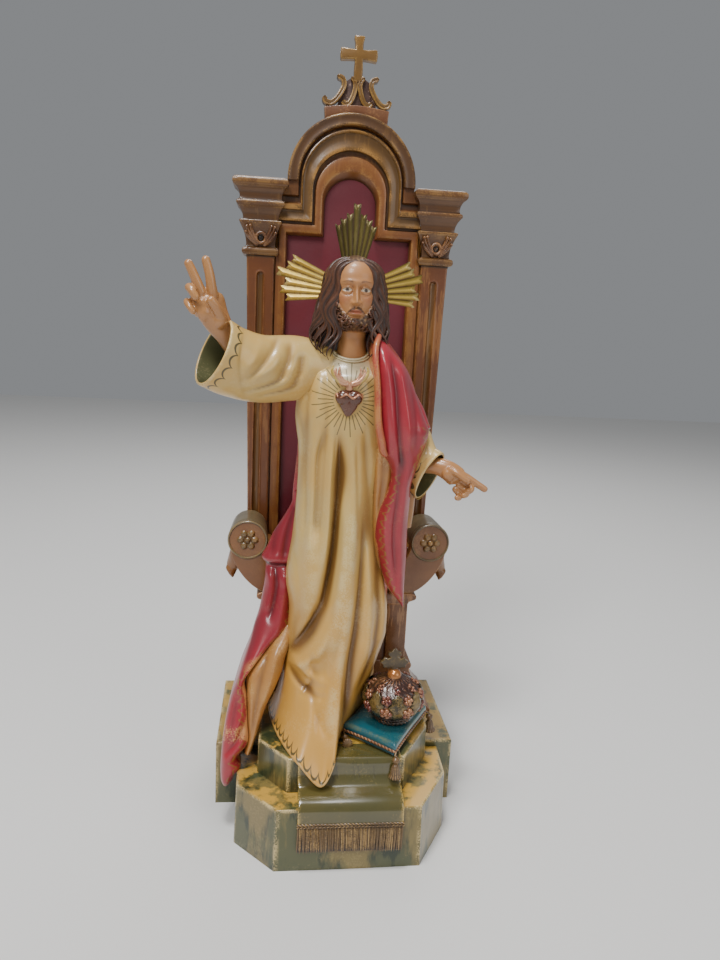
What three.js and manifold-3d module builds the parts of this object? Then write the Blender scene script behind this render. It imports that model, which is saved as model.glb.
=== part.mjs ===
// Painted wooden figure of Christ the King, standing on two canted steps before a high-backed throne.
// Millimetres, +Z up, the front faces -Y. X = 0 is the throne's middle plane and Z = 0 the ground.

import * as THREE from 'three';
import { mergeVertices } from 'three/addons/utils/BufferGeometryUtils.js';
import Module from 'manifold-3d';

const wasm = await Module();
wasm.setup();

// Driving dimensions
const TOTAL_HEIGHT = 800;
const GAP = 0.3;
const BACK_Y = 121.4;

const SLAB = { halfWidth: 126.6, frontY: -17.5, height: 71.2 };

const STEP = {
  lowerHeight: 63.9,
  upperHeight: 99.4,
  spread: 1.5,
  lowerFront: -121.4,
  upperFront: -94.4,
};

const CLOTH = { left: -43, right: 57, bottom: 20, cord: 50, frontY: -126, fringeStrands: 20 };

const SEAT = {
  frontY: 40,
  topZ: 217,
  postOuter: 80,
  postInner: 57,
  footHalf: 114,
  footNeck: 87,
};

const THRONE = {
  footHalf: 84,
  footZ: 217.3,
  haunchHalf: 102.6,
  haunchZ: 258,
  neckHalf: 109.4,
  neckZ: 578,
  pilasterInner: 80,
  pilasterY: 94.5,
  archCentreZ: 657,
  archRadius: 68,
};

const ARM = { scrollX: 100, scrollZ: 276.5, radius: 21.5, frontY: 38 };

const CREST = { x: 1.7, baseZ: 731, scrollTopZ: 761, halfWidth: 34, frontY: 99, backY: 107 };

const HEAD = { x: -4, y: -26, z: 538 };

const CUSHION = {
  corners: [[2, -54], [50, -97], [96, -19], [48, 24]],
  bottomZ: 99.7,
  topZ: 114.2,
};

const CROWN = { x: 54, y: -47, baseZ: 114.5, height: 47.5, orbRadius: 6.8 };

// Colours of the finishes
const COLOURS = {
  marble: 0x6d6a3c,
  wood: 0x7a4a1e,
  panel: 0x6b2230,
  crest: 0x8a6426,
  robe: 0xcfae6a,
  brass: 0xc9a545,
  cushion: 0x1f5f6b,
  crown: 0x55392e,
};

// Solids and geometries

function solidOf(geometry) {
  const bare = geometry.clone();
  bare.deleteAttribute('normal');
  bare.deleteAttribute('uv');
  const merged = mergeVertices(bare, 1e-4);
  return new wasm.Manifold(new wasm.Mesh({
    numProp: 3,
    vertProperties: new Float32Array(merged.attributes.position.array),
    triVerts: new Uint32Array(merged.index.array),
  }));
}

function geometryOf(solid) {
  const mesh = solid.getMesh();
  const geometry = new THREE.BufferGeometry();
  geometry.setAttribute('position', new THREE.BufferAttribute(mesh.vertProperties, 3));
  geometry.setIndex(new THREE.BufferAttribute(mesh.triVerts, 1));
  geometry.computeVertexNormals();
  return geometry;
}

function unite(solids) {
  return solids.reduce((whole, solid) => whole.add(solid));
}

// A solid made larger by the gap on every side of its box.
function grown(solid) {
  const { min, max } = solid.boundingBox();
  const centre = min.map((low, k) => (low + max[k]) / 2);
  const factors = min.map((low, k) => 1 + 2 * GAP / (max[k] - low));
  return solid.translate(centre.map((c) => -c)).scale(factors).translate(centre);
}

function clearOf(solid, neighbours) {
  return neighbours.reduce((rest, neighbour) => rest.subtract(grown(neighbour)), solid);
}

// A solid with copies moved by the gap towards the given sides, for what lies on those sides of it.
function withRoom(solid, sides) {
  return unite([solid, ...sides.map((side) => solid.translate(side.map((s) => s * GAP)))]);
}

// The largest closed part of a solid, without the chips that a cut leaves beside it.
function mainBody(solid) {
  const parts = solid.decompose();
  return parts.reduce((best, part) => (part.volume() > best.volume() ? part : best));
}

function signedVolume(points, faces) {
  let volume = 0;
  for (let i = 0; i < faces.length; i += 3) {
    const [a, b, c] = [points[faces[i]], points[faces[i + 1]], points[faces[i + 2]]];
    volume += a.dot(b.clone().cross(c)) / 6;
  }
  return volume;
}

function middleOf(points) {
  const sum = points.reduce((total, point) => total.add(point), new THREE.Vector3());
  return sum.divideScalar(points.length);
}

// A closed solid through rings of equally many points, with a fan over each end.
function loft(rings) {
  const n = rings[0].length;
  const points = rings.flat();
  const faces = [];
  for (let r = 0; r + 1 < rings.length; r++) {
    for (let i = 0; i < n; i++) {
      const a = r * n + i;
      const b = r * n + (i + 1) % n;
      faces.push(a, b, b + n, a, b + n, a + n);
    }
  }
  const firstCentre = points.push(middleOf(rings[0])) - 1;
  const lastCentre = points.push(middleOf(rings.at(-1))) - 1;
  const lastRing = (rings.length - 1) * n;
  for (let i = 0; i < n; i++) {
    const next = (i + 1) % n;
    faces.push(firstCentre, next, i);
    faces.push(lastCentre, lastRing + i, lastRing + next);
  }
  if (signedVolume(points, faces) < 0) faces.reverse();
  const geometry = new THREE.BufferGeometry();
  const values = points.flatMap((p) => p.toArray());
  geometry.setAttribute('position', new THREE.Float32BufferAttribute(values, 3));
  geometry.setIndex(faces);
  return solidOf(geometry);
}

function prism(plan, z0, z1, spread = 0) {
  const centre = middleOf(plan.map(([x, y]) => new THREE.Vector3(x, y, 0)));
  const ring = (z, grow) => plan.map(([x, y]) => new THREE.Vector3(
    x + Math.sign(x - centre.x) * grow,
    y + Math.sign(y - centre.y) * grow,
    z,
  ));
  return loft([ring(z0, spread), ring(z1, 0)]);
}

function block(x0, x1, y0, y1, z0, z1) {
  return prism([[x0, y0], [x1, y0], [x1, y1], [x0, y1]], z0, z1);
}

// A flat plate whose outline lies in the X-Z plane, between two depths.
function plate(shape, y0, y1, curveSegments = 12) {
  const geometry = new THREE.ExtrudeGeometry(shape, { depth: y1 - y0, bevelEnabled: false, curveSegments });
  geometry.rotateX(Math.PI / 2);
  geometry.translate(0, y1, 0);
  return solidOf(geometry);
}

function shapeOf(points) {
  return new THREE.Shape(points.map(([x, z]) => new THREE.Vector2(x, z)));
}

function mirrored(solid) {
  return solid.mirror([1, 0, 0]);
}

// Smooth values between the rows of a table whose first column is the parameter.
function rowsAt(table, t) {
  const last = table.length - 1;
  let i = 0;
  const rising = table[last][0] > table[0][0];
  while (i < last - 1 && (rising ? t > table[i + 1][0] : t < table[i + 1][0])) i += 1;
  const span = table[i + 1][0] - table[i][0];
  const f = THREE.MathUtils.clamp((t - table[i][0]) / span, 0, 1);
  const before = table[Math.max(i - 1, 0)];
  const after = table[Math.min(i + 2, last)];
  return table[i].map((value, k) => {
    const next = table[i + 1][k];
    const slopeIn = (next - before[k]) / (table[i + 1][0] - before[0]) * span;
    const slopeOut = (after[k] - value) / (after[0] - table[i][0]) * span;
    const f2 = f * f;
    const f3 = f2 * f;
    return value * (2 * f3 - 3 * f2 + 1) + slopeIn * (f3 - 2 * f2 + f)
      + next * (3 * f2 - 2 * f3) + slopeOut * (f3 - f2);
  });
}

// A tube with an elliptic section along a smooth path; each station is [x, y, z, wide, high].
function limb(stations, sides, steps) {
  const path = new THREE.CatmullRomCurve3(stations.map(([x, y, z]) => new THREE.Vector3(x, y, z)));
  const up = new THREE.Vector3(0, 0, 1);
  const rings = [];
  for (let s = 0; s <= steps; s++) {
    const t = s / steps;
    const centre = path.getPoint(t);
    const ahead = path.getTangent(t);
    const across = new THREE.Vector3().crossVectors(ahead, up);
    if (across.length() < 0.2) across.set(1, 0, 0);
    across.normalize();
    const over = new THREE.Vector3().crossVectors(across, ahead).normalize();
    const at = t * (stations.length - 1);
    const i = Math.min(Math.floor(at), stations.length - 2);
    const f = at - i;
    const wide = THREE.MathUtils.lerp(stations[i][3], stations[i + 1][3], f);
    const high = THREE.MathUtils.lerp(stations[i][4], stations[i + 1][4], f);
    rings.push(Array.from({ length: sides }, (_, k) => {
      const angle = 2 * Math.PI * k / sides;
      return centre.clone()
        .addScaledVector(across, wide * Math.cos(angle))
        .addScaledVector(over, high * Math.sin(angle));
    }));
  }
  return loft(rings);
}

function ball(x, y, z, rx, ry, rz, across = 12, down = 8) {
  const geometry = new THREE.SphereGeometry(1, across, down);
  geometry.rotateX(Math.PI / 2);
  geometry.scale(rx, ry, rz);
  geometry.translate(x, y, z);
  return solidOf(geometry);
}

// A body of level slices; each row is [z, left, right, front, back]. ripple(angle, z) pushes it out.
function slices(table, heights, sides, ripple = () => 0) {
  return loft(heights.map((z) => {
    const [, left, right, front, back] = rowsAt(table, z);
    const cx = (left + right) / 2;
    const cy = (front + back) / 2;
    return Array.from({ length: sides }, (_, k) => {
      const angle = 2 * Math.PI * k / sides;
      const push = ripple(angle, z);
      return new THREE.Vector3(
        cx + ((right - left) / 2 + push) * Math.cos(angle),
        cy + ((back - front) / 2 + push) * Math.sin(angle),
        z,
      );
    });
  }));
}

function evenly(from, to, count) {
  return Array.from({ length: count }, (_, i) => THREE.MathUtils.lerp(from, to, i / (count - 1)));
}

// Throne slab

function throneSlab() {
  return block(-SLAB.halfWidth, SLAB.halfWidth, SLAB.frontY, BACK_Y, 0, SLAB.height);
}

// Stepped pedestal: both steps have canted front corners and sit a little askew before the slab.

const LOWER_PLAN = [
  [-103.5, SLAB.frontY - GAP],
  [-102, -80.1],
  [-62.8, STEP.lowerFront],
  [74.9, STEP.lowerFront + 1.6],
  [108.6, -64.6],
  [110.5, SLAB.frontY - GAP],
];

const UPPER_PLAN = [
  [-80, SEAT.frontY - 2 * GAP],
  [-81.8, -58.8],
  [-52.7, STEP.upperFront],
  [60.3, STEP.upperFront + 2.1],
  [93, -36.4],
  [96, SEAT.frontY - 2 * GAP],
];

// Outer line of the carved cloth from the upper step's edge to the fringe, as [y, z].
const CLOTH_FALL = [
  [-90, 100.8], [-95.6, 98.8], [-97.4, 90], [-100.5, 80], [-106.5, 74.5],
  [-115, 72.2], [-121.5, 69.2], [-125, 63.5], [-126, 55],
];

function clothOnSteps() {
  const inner = [[-118, CLOTH.cord - 3], [-112, 60], [-90, 62]];
  const outline = new THREE.Shape([...CLOTH_FALL, [CLOTH.frontY, CLOTH.cord - 3], ...inner]
    .map(([y, z]) => new THREE.Vector2(y, z)));
  const depth = CLOTH.right - CLOTH.left;
  const geometry = new THREE.ExtrudeGeometry(outline, { depth, bevelEnabled: false });
  geometry.rotateX(Math.PI / 2);
  geometry.rotateZ(Math.PI / 2);
  geometry.translate(CLOTH.left, 0, 0);
  return solidOf(geometry);
}

function cordOnCloth() {
  const { left, right, cord, frontY } = CLOTH;
  return limb([[left - 0.5, frontY, cord, 1.8, 2.6], [right + 0.5, frontY, cord, 1.8, 2.6]], 8, 1);
}

function fringeOnCloth() {
  const width = (CLOTH.right - CLOTH.left) / CLOTH.fringeStrands;
  const [grooveY, strandY, behindY] = [CLOTH.frontY + 1.7, CLOTH.frontY + 0.4, CLOTH.frontY + 7];
  const outline = [[CLOTH.right, behindY], [CLOTH.left, behindY]];
  for (let i = 0; i < CLOTH.fringeStrands; i++) {
    const x = CLOTH.left + i * width;
    outline.push([x, grooveY], [x + 0.25 * width, strandY], [x + 0.75 * width, strandY]);
  }
  outline.push([CLOTH.right, grooveY]);
  return prismFromShape(outline, CLOTH.bottom, CLOTH.cord);
}

function prismFromShape(plan, z0, z1) {
  const geometry = new THREE.ExtrudeGeometry(shapeOf(plan), { depth: z1 - z0, bevelEnabled: false });
  geometry.translate(0, 0, z0);
  return solidOf(geometry);
}

function steppedPedestal() {
  const lower = prism(LOWER_PLAN, 0, STEP.lowerHeight, STEP.spread)
    .subtract(block(-SLAB.halfWidth, SLAB.halfWidth, SLAB.frontY - GAP, BACK_Y, -1, SLAB.height));
  const upper = prism(UPPER_PLAN, STEP.lowerHeight - 10, STEP.upperHeight, 1);
  const whole = unite([lower, upper, clothOnSteps(), cordOnCloth(), fringeOnCloth()]);
  return clearOf(whole, [throneSlab(), throneSeatBox()]);
}

// Throne body: flared foot, two posts with a sunk panel between them, seat board with rounded edges.

function throneSeatBox() {
  const side = [
    [SEAT.footHalf, SLAB.height + GAP],
    [SEAT.footHalf, SLAB.height + 4],
    [104, 82],
    [95, 98],
    [90, 114],
    [SEAT.footNeck - 1, 126],
    [SEAT.footNeck + 1, 128],
    [SEAT.footNeck + 1, 132],
    [SEAT.footNeck - 2, 134],
    [SEAT.postOuter, 135],
    [SEAT.postOuter, 207],
    [SEAT.footNeck, 208.5],
    [SEAT.footNeck + 2, 212],
    [SEAT.footNeck, 215.5],
    [SEAT.postOuter + 3, SEAT.topZ],
  ];
  const outline = [...side, ...side.map(([x, z]) => [-x, z]).reverse()];
  const body = plate(shapeOf(outline), SEAT.frontY, BACK_Y);
  const inset = SEAT.postInner;
  const sunk = block(-inset, inset, SEAT.frontY - 1, SEAT.frontY + 4, 140, 204);
  return body.subtract(sunk);
}

// Throne back: a board with pilasters, capitals and cornices, and an arch of stepped mouldings.

const ARCH_POINTS = 10;

// An outline with a round top, shoulders and straight sides, from its right foot to its left foot.
function archedOutline({ topHalf, centreZ, shoulderZ, sideHalf, feet = [[sideHalf, THRONE.footZ]] }) {
  const arc = evenly(0, Math.PI, ARCH_POINTS).map((angle) => [
    topHalf * Math.cos(angle),
    centreZ + topHalf * Math.sin(angle),
  ]);
  const right = [...feet, [sideHalf, shoulderZ], [topHalf, shoulderZ]];
  return [...right, ...arc, ...right.map(([x, z]) => [-x, z]).reverse()];
}

const PILASTER_EDGE = [
  [THRONE.footHalf, THRONE.footZ],
  [THRONE.haunchHalf, THRONE.haunchZ],
  [THRONE.neckHalf, THRONE.neckZ],
];

// From the opening outwards; each band of the frame runs from one outline to the next.
const MOULDINGS = [
  { frontY: 103, topHalf: 27.5, centreZ: 633.5, shoulderZ: 600, sideHalf: 66.5 },
  { frontY: 99, topHalf: 31, centreZ: 638, shoulderZ: 603, sideHalf: 68.5 },
  { frontY: 101, topHalf: 38, centreZ: 645, shoulderZ: 611, sideHalf: 75.5 },
  { frontY: 97, topHalf: 41, centreZ: 647.5, shoulderZ: 614, sideHalf: 76.5 },
  { frontY: 99.5, topHalf: 52, centreZ: 655, shoulderZ: 626, sideHalf: 78 },
  { frontY: 98.5, topHalf: 56, centreZ: 656.5, shoulderZ: 640, sideHalf: 79 },
  {
    topHalf: THRONE.archRadius,
    centreZ: THRONE.archCentreZ,
    shoulderZ: THRONE.archCentreZ - 8,
    sideHalf: THRONE.neckHalf,
    feet: PILASTER_EDGE,
  },
];

function frameBands() {
  return MOULDINGS.slice(0, -1).map((inner, i) => {
    const outline = [...archedOutline(MOULDINGS[i + 1]), ...archedOutline(inner).reverse()];
    return plate(shapeOf(outline), inner.frontY, BACK_Y);
  });
}

// The half ring round the arch's head, standing out as far as the pilasters.
function archFascia() {
  const inner = MOULDINGS.at(-2);
  const { archCentreZ, archRadius, pilasterY } = THRONE;
  const shape = new THREE.Shape();
  shape.absarc(0, archCentreZ, archRadius, 0, Math.PI, false);
  shape.absarc(0, inner.centreZ, inner.topHalf, Math.PI, 0, true);
  return plate(shape, pilasterY - 0.5, pilasterY + 6, 12);
}

// Rectangular mouldings stacked in height: each row is [z, how far it stands out].
const CAPITAL_PROFILE = [
  [576, 0.2], [578, 4.6], [583, 4.6], [584.5, 0.8], [593, 1.2], [610, 8.2], [611.5, 4.4],
  [618, 5], [625, 9], [628.5, 11.4], [631.5, 8], [638, 8.4], [644, 12], [649.5, 15.4], [654, 12],
];

function capital() {
  const inner = THRONE.pilasterInner;
  const outer = THRONE.neckHalf;
  return loft(CAPITAL_PROFILE.map(([z, out]) => {
    const x0 = inner - 0.8 * out;
    const x1 = outer + out;
    const y0 = THRONE.pilasterY - 0.6 * out;
    return [[x0, y0], [x1, y0], [x1, BACK_Y], [x0, BACK_Y]].map(([x, y]) => new THREE.Vector3(x, y, z));
  }));
}

// Two curled leaves and a drilled eye on the front of each capital.
function capitalLeaves() {
  const x = (THRONE.pilasterInner + THRONE.neckHalf) / 2;
  const front = THRONE.pilasterY;
  const leaf = (side) => limb([
    [x + side * 4, front - 0.5, 586, 4, 2],
    [x + side * 11, front - 2.5, 598, 4.4, 2.4],
    [x + side * 16.5, front - 5, 607, 3, 2.6],
  ], 5, 2);
  const rim = ball(x, front - 1.5, 594, 6.4, 3, 6.4, 8, 3);
  const eye = ball(x, front - 4.6, 594, 3, 3, 3, 5, 3);
  return unite([leaf(1), leaf(-1), rim]).subtract(eye);
}

function pilaster() {
  const inner = THRONE.pilasterInner;
  const shape = shapeOf([[inner, THRONE.footZ], ...PILASTER_EDGE, [inner, THRONE.neckZ]]);
  const flute = new THREE.Shape();
  const [fluteX, fluteHalf, fluteTop, fluteLow] = [94.5, 3.4, 556, 270];
  flute.moveTo(fluteX - fluteHalf, fluteLow);
  flute.lineTo(fluteX + fluteHalf, fluteLow);
  flute.lineTo(fluteX + fluteHalf, fluteTop);
  flute.absarc(fluteX, fluteTop, fluteHalf, 0, Math.PI, false);
  const cut = plate(flute, THRONE.pilasterY - 1, THRONE.pilasterY + 2.4, 4);
  return plate(shape, THRONE.pilasterY, BACK_Y).subtract(cut);
}

function throneBackFrame() {
  const side = unite([pilaster(), capital(), capitalLeaves()]);
  return mainBody(unite([...frameBands(), archFascia(), side, mirrored(side)]));
}

function throneBackPanel() {
  const hole = MOULDINGS[0];
  return plate(shapeOf(archedOutline({
    ...hole,
    topHalf: hole.topHalf - GAP,
    shoulderZ: hole.shoulderZ - GAP,
    sideHalf: hole.sideHalf - GAP,
  })), 107, 117);
}

// Throne arm: a roll with a rosette, a curved front board, a side wall and an outer leaf.

function rosette(x, z, y) {
  const sides = 12;
  const rows = [[1, 11.4, 0.6], [-1.6, 11, 1], [-2.8, 6.4, 0.6], [-2, 4.4, 0], [-4, 3.4, 0], [-4.8, 1.4, 0]];
  return loft(rows.map(([depth, radius, lobe]) => Array.from({ length: sides }, (_, k) => {
    const angle = 2 * Math.PI * k / sides;
    const r = radius + 1.8 * lobe * Math.cos(6 * angle);
    return new THREE.Vector3(x + r * Math.cos(angle), y + depth, z + r * Math.sin(angle));
  })));
}

function throneArm() {
  const { scrollX, scrollZ, radius, frontY } = ARM;
  const armBack = THRONE.pilasterY - 2 * GAP;
  const roll = limb([
    [scrollX, frontY, scrollZ, radius, radius],
    [scrollX - 1, armBack, scrollZ, radius * 0.94, radius * 0.94],
  ], 16, 1);
  const board = new THREE.Shape();
  board.moveTo(scrollX + radius - 3, scrollZ - 9);
  board.bezierCurveTo(scrollX + 17, 250, scrollX + 2, 226, SEAT.footNeck - 4, SEAT.topZ + GAP);
  board.lineTo(SEAT.postInner, SEAT.topZ + GAP);
  board.lineTo(SEAT.postInner + 3, 236);
  board.bezierCurveTo(SEAT.postInner + 8, 250, 78, 256, scrollX - radius + 1, scrollZ);
  const front = plate(board, frontY + 2, frontY + 14, 5);
  const wall = block(SEAT.postInner + 6, SEAT.postOuter, frontY + 12, armBack, SEAT.topZ + GAP, 268);
  const web = block(SEAT.postOuter - 4, scrollX - 6, frontY + 12, armBack, 252, 268);
  const leaf = limb([
    [scrollX + 13, frontY + 18, 268, 9, 3],
    [scrollX + 18, frontY + 17, 250, 8.5, 3.4],
    [scrollX + 16.5, frontY + 16, 229, 1.4, 1.2],
  ], 6, 3);
  return unite([roll, front, wall, web, leaf, rosette(scrollX, scrollZ, frontY)]);
}

// Crest: a curved foot on the arch, mirrored scrolls and a cross with flared ends.

function ribbon(points, halfWidths, y0, y1, steps) {
  const path = new THREE.CatmullRomCurve3(points.map(([x, z]) => new THREE.Vector3(x, 0, z)));
  const rings = evenly(0, 1, steps + 1).map((t) => {
    const centre = path.getPoint(t);
    const ahead = path.getTangent(t);
    const half = THREE.MathUtils.lerp(halfWidths[0], halfWidths[1], t);
    const side = new THREE.Vector3(-ahead.z, 0, ahead.x).multiplyScalar(half);
    return [[1, y0], [1, y1], [-1, y1], [-1, y0]]
      .map(([s, y]) => centre.clone().addScaledVector(side, s).setY(y));
  });
  return loft(rings);
}

function crest() {
  const { x, baseZ, scrollTopZ, halfWidth, frontY, backY } = CREST;
  const { archCentreZ, archRadius } = THRONE;
  const radius = archRadius + GAP;
  const angleAt = (px) => Math.acos(px / radius);
  const foot = new THREE.Shape();
  foot.absarc(0, archCentreZ, radius, angleAt(x - halfWidth + 1), angleAt(x + halfWidth - 1), true);
  foot.lineTo(x + halfWidth, baseZ - 1);
  foot.lineTo(x, baseZ + 2.4);
  foot.lineTo(x - halfWidth, baseZ - 1);
  const outer = ribbon([
    [34.2, 740], [32.4, 735], [26.5, 734], [21.1, 739], [16.5, 746], [14, 752.5], [15.4, 758],
    [22, scrollTopZ - 1],
  ], [2.8, 2.5], frontY, backY, 9);
  const inner = ribbon([
    [15, 733.5], [9, 735], [4.6, 742], [2.4, 751], [6.4, scrollTopZ - 1],
  ], [2.6, 2.3], frontY, backY, 5);
  const armZ = TOTAL_HEIGHT - 17.8;
  const half = [
    [4.4, scrollTopZ - 6], [4.4, scrollTopZ], [3.9, armZ - 4.8], [18.4, armZ - 5.8], [19.4, armZ],
    [18.4, armZ + 5.8], [3.9, armZ + 4.8], [5.4, TOTAL_HEIGHT],
  ];
  const cross = plate(shapeOf([...half, ...half.map(([px, pz]) => [-px, pz]).reverse()]), frontY, backY);
  const groundHalf = [[20, baseZ], [13, 744], [12, 758], [5, 762]];
  const ground = plate(
    shapeOf([...groundHalf, ...groundHalf.map(([px, pz]) => [-px, pz]).reverse()]),
    frontY + 4,
    backY - 0.5,
  );
  const scrolls = unite([outer, mirrored(outer), inner, mirrored(inner), ground, cross]).translate([x, 0, 0]);
  return plate(foot, frontY - 1, backY + 2, 6).add(scrolls);
}

// Figure: robe

// Level slices of the robe above the hem: [z, left, right, front, back].
const ROBE = [
  [200, -56, 46, -67, 30],
  [228, -55, 46, -65, 29],
  [255, -59, 41, -63, 27],
  [300, -54, 31, -59, 24],
  [345, -51, 29, -57, 21],
  [390, -51, 33, -57, 19],
  [425, -55, 39, -58, 17],
  [455, -50, 40, -55, 14],
  [474, -42, 34, -49, 8],
  [486, -28, 19, -43, -2],
  [493, -21, 12, -39, -8],
];

// The hem on the upper step, seen from above; its front corner hangs over the step's edge.
const HEM = [
  [40, 5, 101], [36, 26, 101], [12, 37, 101], [-30, 37, 101], [-64, 26, 101], [-73, 3, 102], [-67, -42, 102],
  [-55, -80, 101], [-43, -102, 98], [-22, -110, 80], [-9, -103, 97], [-3, -70, 102], [7, -42, 102],
  [24, -14, 101],
];

const HEM_CENTRE = { x: -12, y: -22 };

// Carved folds down the front: points [x, z] from the top down, half width, and depth (a ridge is minus).
const FOLDS = [
  { line: [[-14, 385], [-14, 312], [-21, 247], [-31, 216], [-44, 189], [-60, 160]], half: 6, depth: 10 },
  { line: [[-1, 380], [0, 282], [-5, 239], [-12, 197], [-20, 155], [-26, 100]], half: 8, depth: -6 },
  { line: [[11, 330], [12, 281], [10, 237], [7, 196], [3, 153], [-4, 120]], half: 4.5, depth: 5.5 },
  { line: [[23, 300], [24, 245], [25, 203], [20, 165], [12, 140]], half: 4.5, depth: 6 },
  { line: [[-41, 457], [-42, 410], [-42, 373], [-43, 324], [-47, 290]], half: 3.5, depth: 3.5 },
  { line: [[-26, 455], [-25, 403], [-25, 366], [-28, 327]], half: 5, depth: -3 },
  { line: [[-41, 275], [-41, 248], [-46, 215]], half: 13, depth: -7 },
  { line: [[4, 440], [5, 400], [4, 350]], half: 5, depth: -2.5 },
];

function foldDepth(x, z) {
  let depth = 0;
  for (const { line, half, depth: full } of FOLDS) {
    const table = line.map(([fx, fz]) => [fz, fx]);
    const top = table[0][0];
    const low = table.at(-1)[0];
    const aboveLow = THREE.MathUtils.smoothstep(z, low - 14, low + 10);
    const belowTop = 1 - THREE.MathUtils.smoothstep(z, top - 18, top + 6);
    const fade = aboveLow * belowTop;
    if (fade <= 0) continue;
    const away = (x - rowsAt(table, THREE.MathUtils.clamp(z, low, top))[1]) / half;
    depth += full * fade * Math.exp(-away * away);
  }
  return depth;
}

// A share of the way round the hem, with the steps drawn together along the front.
function frontCrowded(u) {
  return u - 0.08 * Math.sin(2 * Math.PI * (u - 0.62));
}

function robe() {
  const sides = 34;
  const [leftFall, rightFall] = [2.1, 0.9];
  const hem = new THREE.CatmullRomCurve3(HEM.map(([x, y, z]) => new THREE.Vector3(x, y, z)), true);
  const hemPoints = Array.from({ length: sides }, (_, k) => hem.getPoint(frontCrowded(k / sides)));
  const [waistZ, left0, right0, front0, back0] = ROBE[0];
  const angles = hemPoints.map((p) => Math.atan2(
    (p.y - HEM_CENTRE.y) / (back0 - front0),
    (p.x - HEM_CENTRE.x) / (right0 - left0),
  ));
  const smoothRing = (z) => {
    const [, left, right, front, back] = rowsAt(ROBE, z);
    return angles.map((angle) => new THREE.Vector3(
      (left + right) / 2 + (right - left) / 2 * Math.cos(angle),
      (front + back) / 2 + (back - front) / 2 * Math.sin(angle),
      z,
    ));
  };
  const top = smoothRing(waistZ);
  const skirt = evenly(0, 0.84, 5).map((t) => hemPoints.map((p, k) => {
    const toRight = THREE.MathUtils.smoothstep(Math.cos(angles[k]), 0, 0.9);
    const flare = (1 - t) ** THREE.MathUtils.lerp(leftFall, rightFall, toRight);
    return new THREE.Vector3(
      THREE.MathUtils.lerp(top[k].x, p.x, flare),
      THREE.MathUtils.lerp(top[k].y, p.y, flare),
      THREE.MathUtils.lerp(p.z, top[k].z, t),
    );
  }));
  const body = [200, 222, 245, 270, 300, 335, 370, 405, 435, 460, 493].map(smoothRing);
  const carved = [...skirt, ...body].map((ring, row) => ring.map((p, k) => {
    const facing = Math.sqrt(Math.max(0, -Math.sin(angles[k])));
    return row > 0 ? p.clone().setY(p.y + foldDepth(p.x, p.z) * facing) : p;
  }));
  return loft(carved);
}

// Figure: sleeves and hands

function rightSleeve() {
  const outer = limb([
    [-16, -14, 458, 20, 24],
    [-52, -22, 465, 25, 30],
    [-88, -39, 464, 25, 31],
    [-113, -53, 470, 25, 31.5],
    [-129, -62, 478, 26, 32],
  ], 14, 6);
  const hollow = limb([
    [-96, -44, 467, 14, 18],
    [-113, -53, 470, 20, 26],
    [-135, -65.5, 481, 23.5, 29.5],
  ], 12, 2);
  return outer.subtract(hollow);
}

function finger(points, radius) {
  const last = points.length - 1;
  const rows = points.map(([x, y, z], i) => {
    const r = radius * (1 - 0.25 * i / last);
    return [x, y, z, r, r];
  });
  const [from, to] = [points[last - 1], points[last]];
  const tip = to.map((value, k) => value + 0.18 * (value - from[k]));
  return limb([...rows, [...tip, 0.3 * radius, 0.3 * radius]], 5, 3);
}

function rightHand() {
  const wrist = limb([
    [-104, -50, 474, 9.5, 10.5],
    [-119, -59, 493, 9, 11],
    [-127, -63, 506, 8, 13],
    [-133, -66, 519, 7.5, 16],
    [-137, -68, 530, 6.5, 15],
  ], 7, 3);
  return unite([
    wrist,
    finger([[-131, -68, 526], [-133, -70, 543], [-136.5, -70, 557]], 5.8),
    finger([[-141, -68, 528], [-146.5, -70, 541], [-151.5, -70, 551]], 5.8),
    finger([[-142, -68, 522], [-147, -74, 531], [-143, -80, 523]], 5.6),
    finger([[-142, -67, 512], [-150, -71, 521], [-146, -78, 513]], 5.2),
    finger([[-122, -68, 512], [-127, -77, 520], [-137, -80, 522]], 5.6),
  ]);
}

function leftSleeve() {
  const outer = limb([
    [34, -12, 452, 20, 22],
    [52, -4, 424, 22, 24],
    [62, -12, 394, 18, 25],
    [71, -26, 372, 15.5, 27],
    [77.5, -33, 367, 15, 28],
  ], 12, 6);
  const hollow = limb([[66, -21, 374, 8, 14], [80.5, -35.5, 366, 12.5, 25]], 10, 1);
  return outer.subtract(hollow);
}

function leftHand() {
  const wrist = limb([
    [66, -24, 376, 8, 8.5],
    [82, -36, 378, 7.5, 8.5],
    [93, -42, 375, 8, 10],
    [103, -45, 369, 7.5, 10.5],
  ], 7, 2);
  return unite([
    wrist,
    finger([[101, -46, 374], [116, -49, 367], [131, -50, 359]], 4.4),
    finger([[104, -45, 368], [113, -50, 361], [108, -54, 355]], 4.8),
    finger([[101, -44, 363], [108, -48, 356], [102, -53, 352]], 4.6),
    finger([[97, -43, 360], [102, -46, 353], [96, -51, 350]], 4.4),
    finger([[94, -48, 374], [104, -54, 370], [113, -54, 367]], 4.4),
  ]);
}

// Figure: cloak

const CLOAK_FRONT = [
  [497, 16, 30, -36, 6], [480, 12, 42, -51, 13], [460, 13, 53, -58, 17], [440, 15, 62, -60, 18],
  [420, 18, 72, -60, 16], [408, 20, 75, -59, 15], [394, 23, 70, -57, 12], [380, 36, 63, -54, 8],
  [364, 45, 56, -50, -4],
];

const CLOAK_TAIL = [
  [372, 40, 60, -50, -8], [343, 33, 60, -49, -6], [322, 26, 60, -47, -4], [298, 28, 61, -46, -2],
  [276, 33, 61, -44, -4], [254, 41, 60, -42, -10], [235, 56, 59.5, -40, -22],
];

const CLOAK_LINING = [
  [400, 20, 52, -44, 4], [370, 20, 50, -43, 4], [335, 20, 48, -40, 4], [290, 22, 44, -34, 4],
  [262, 30, 42, -24, 2],
];

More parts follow.
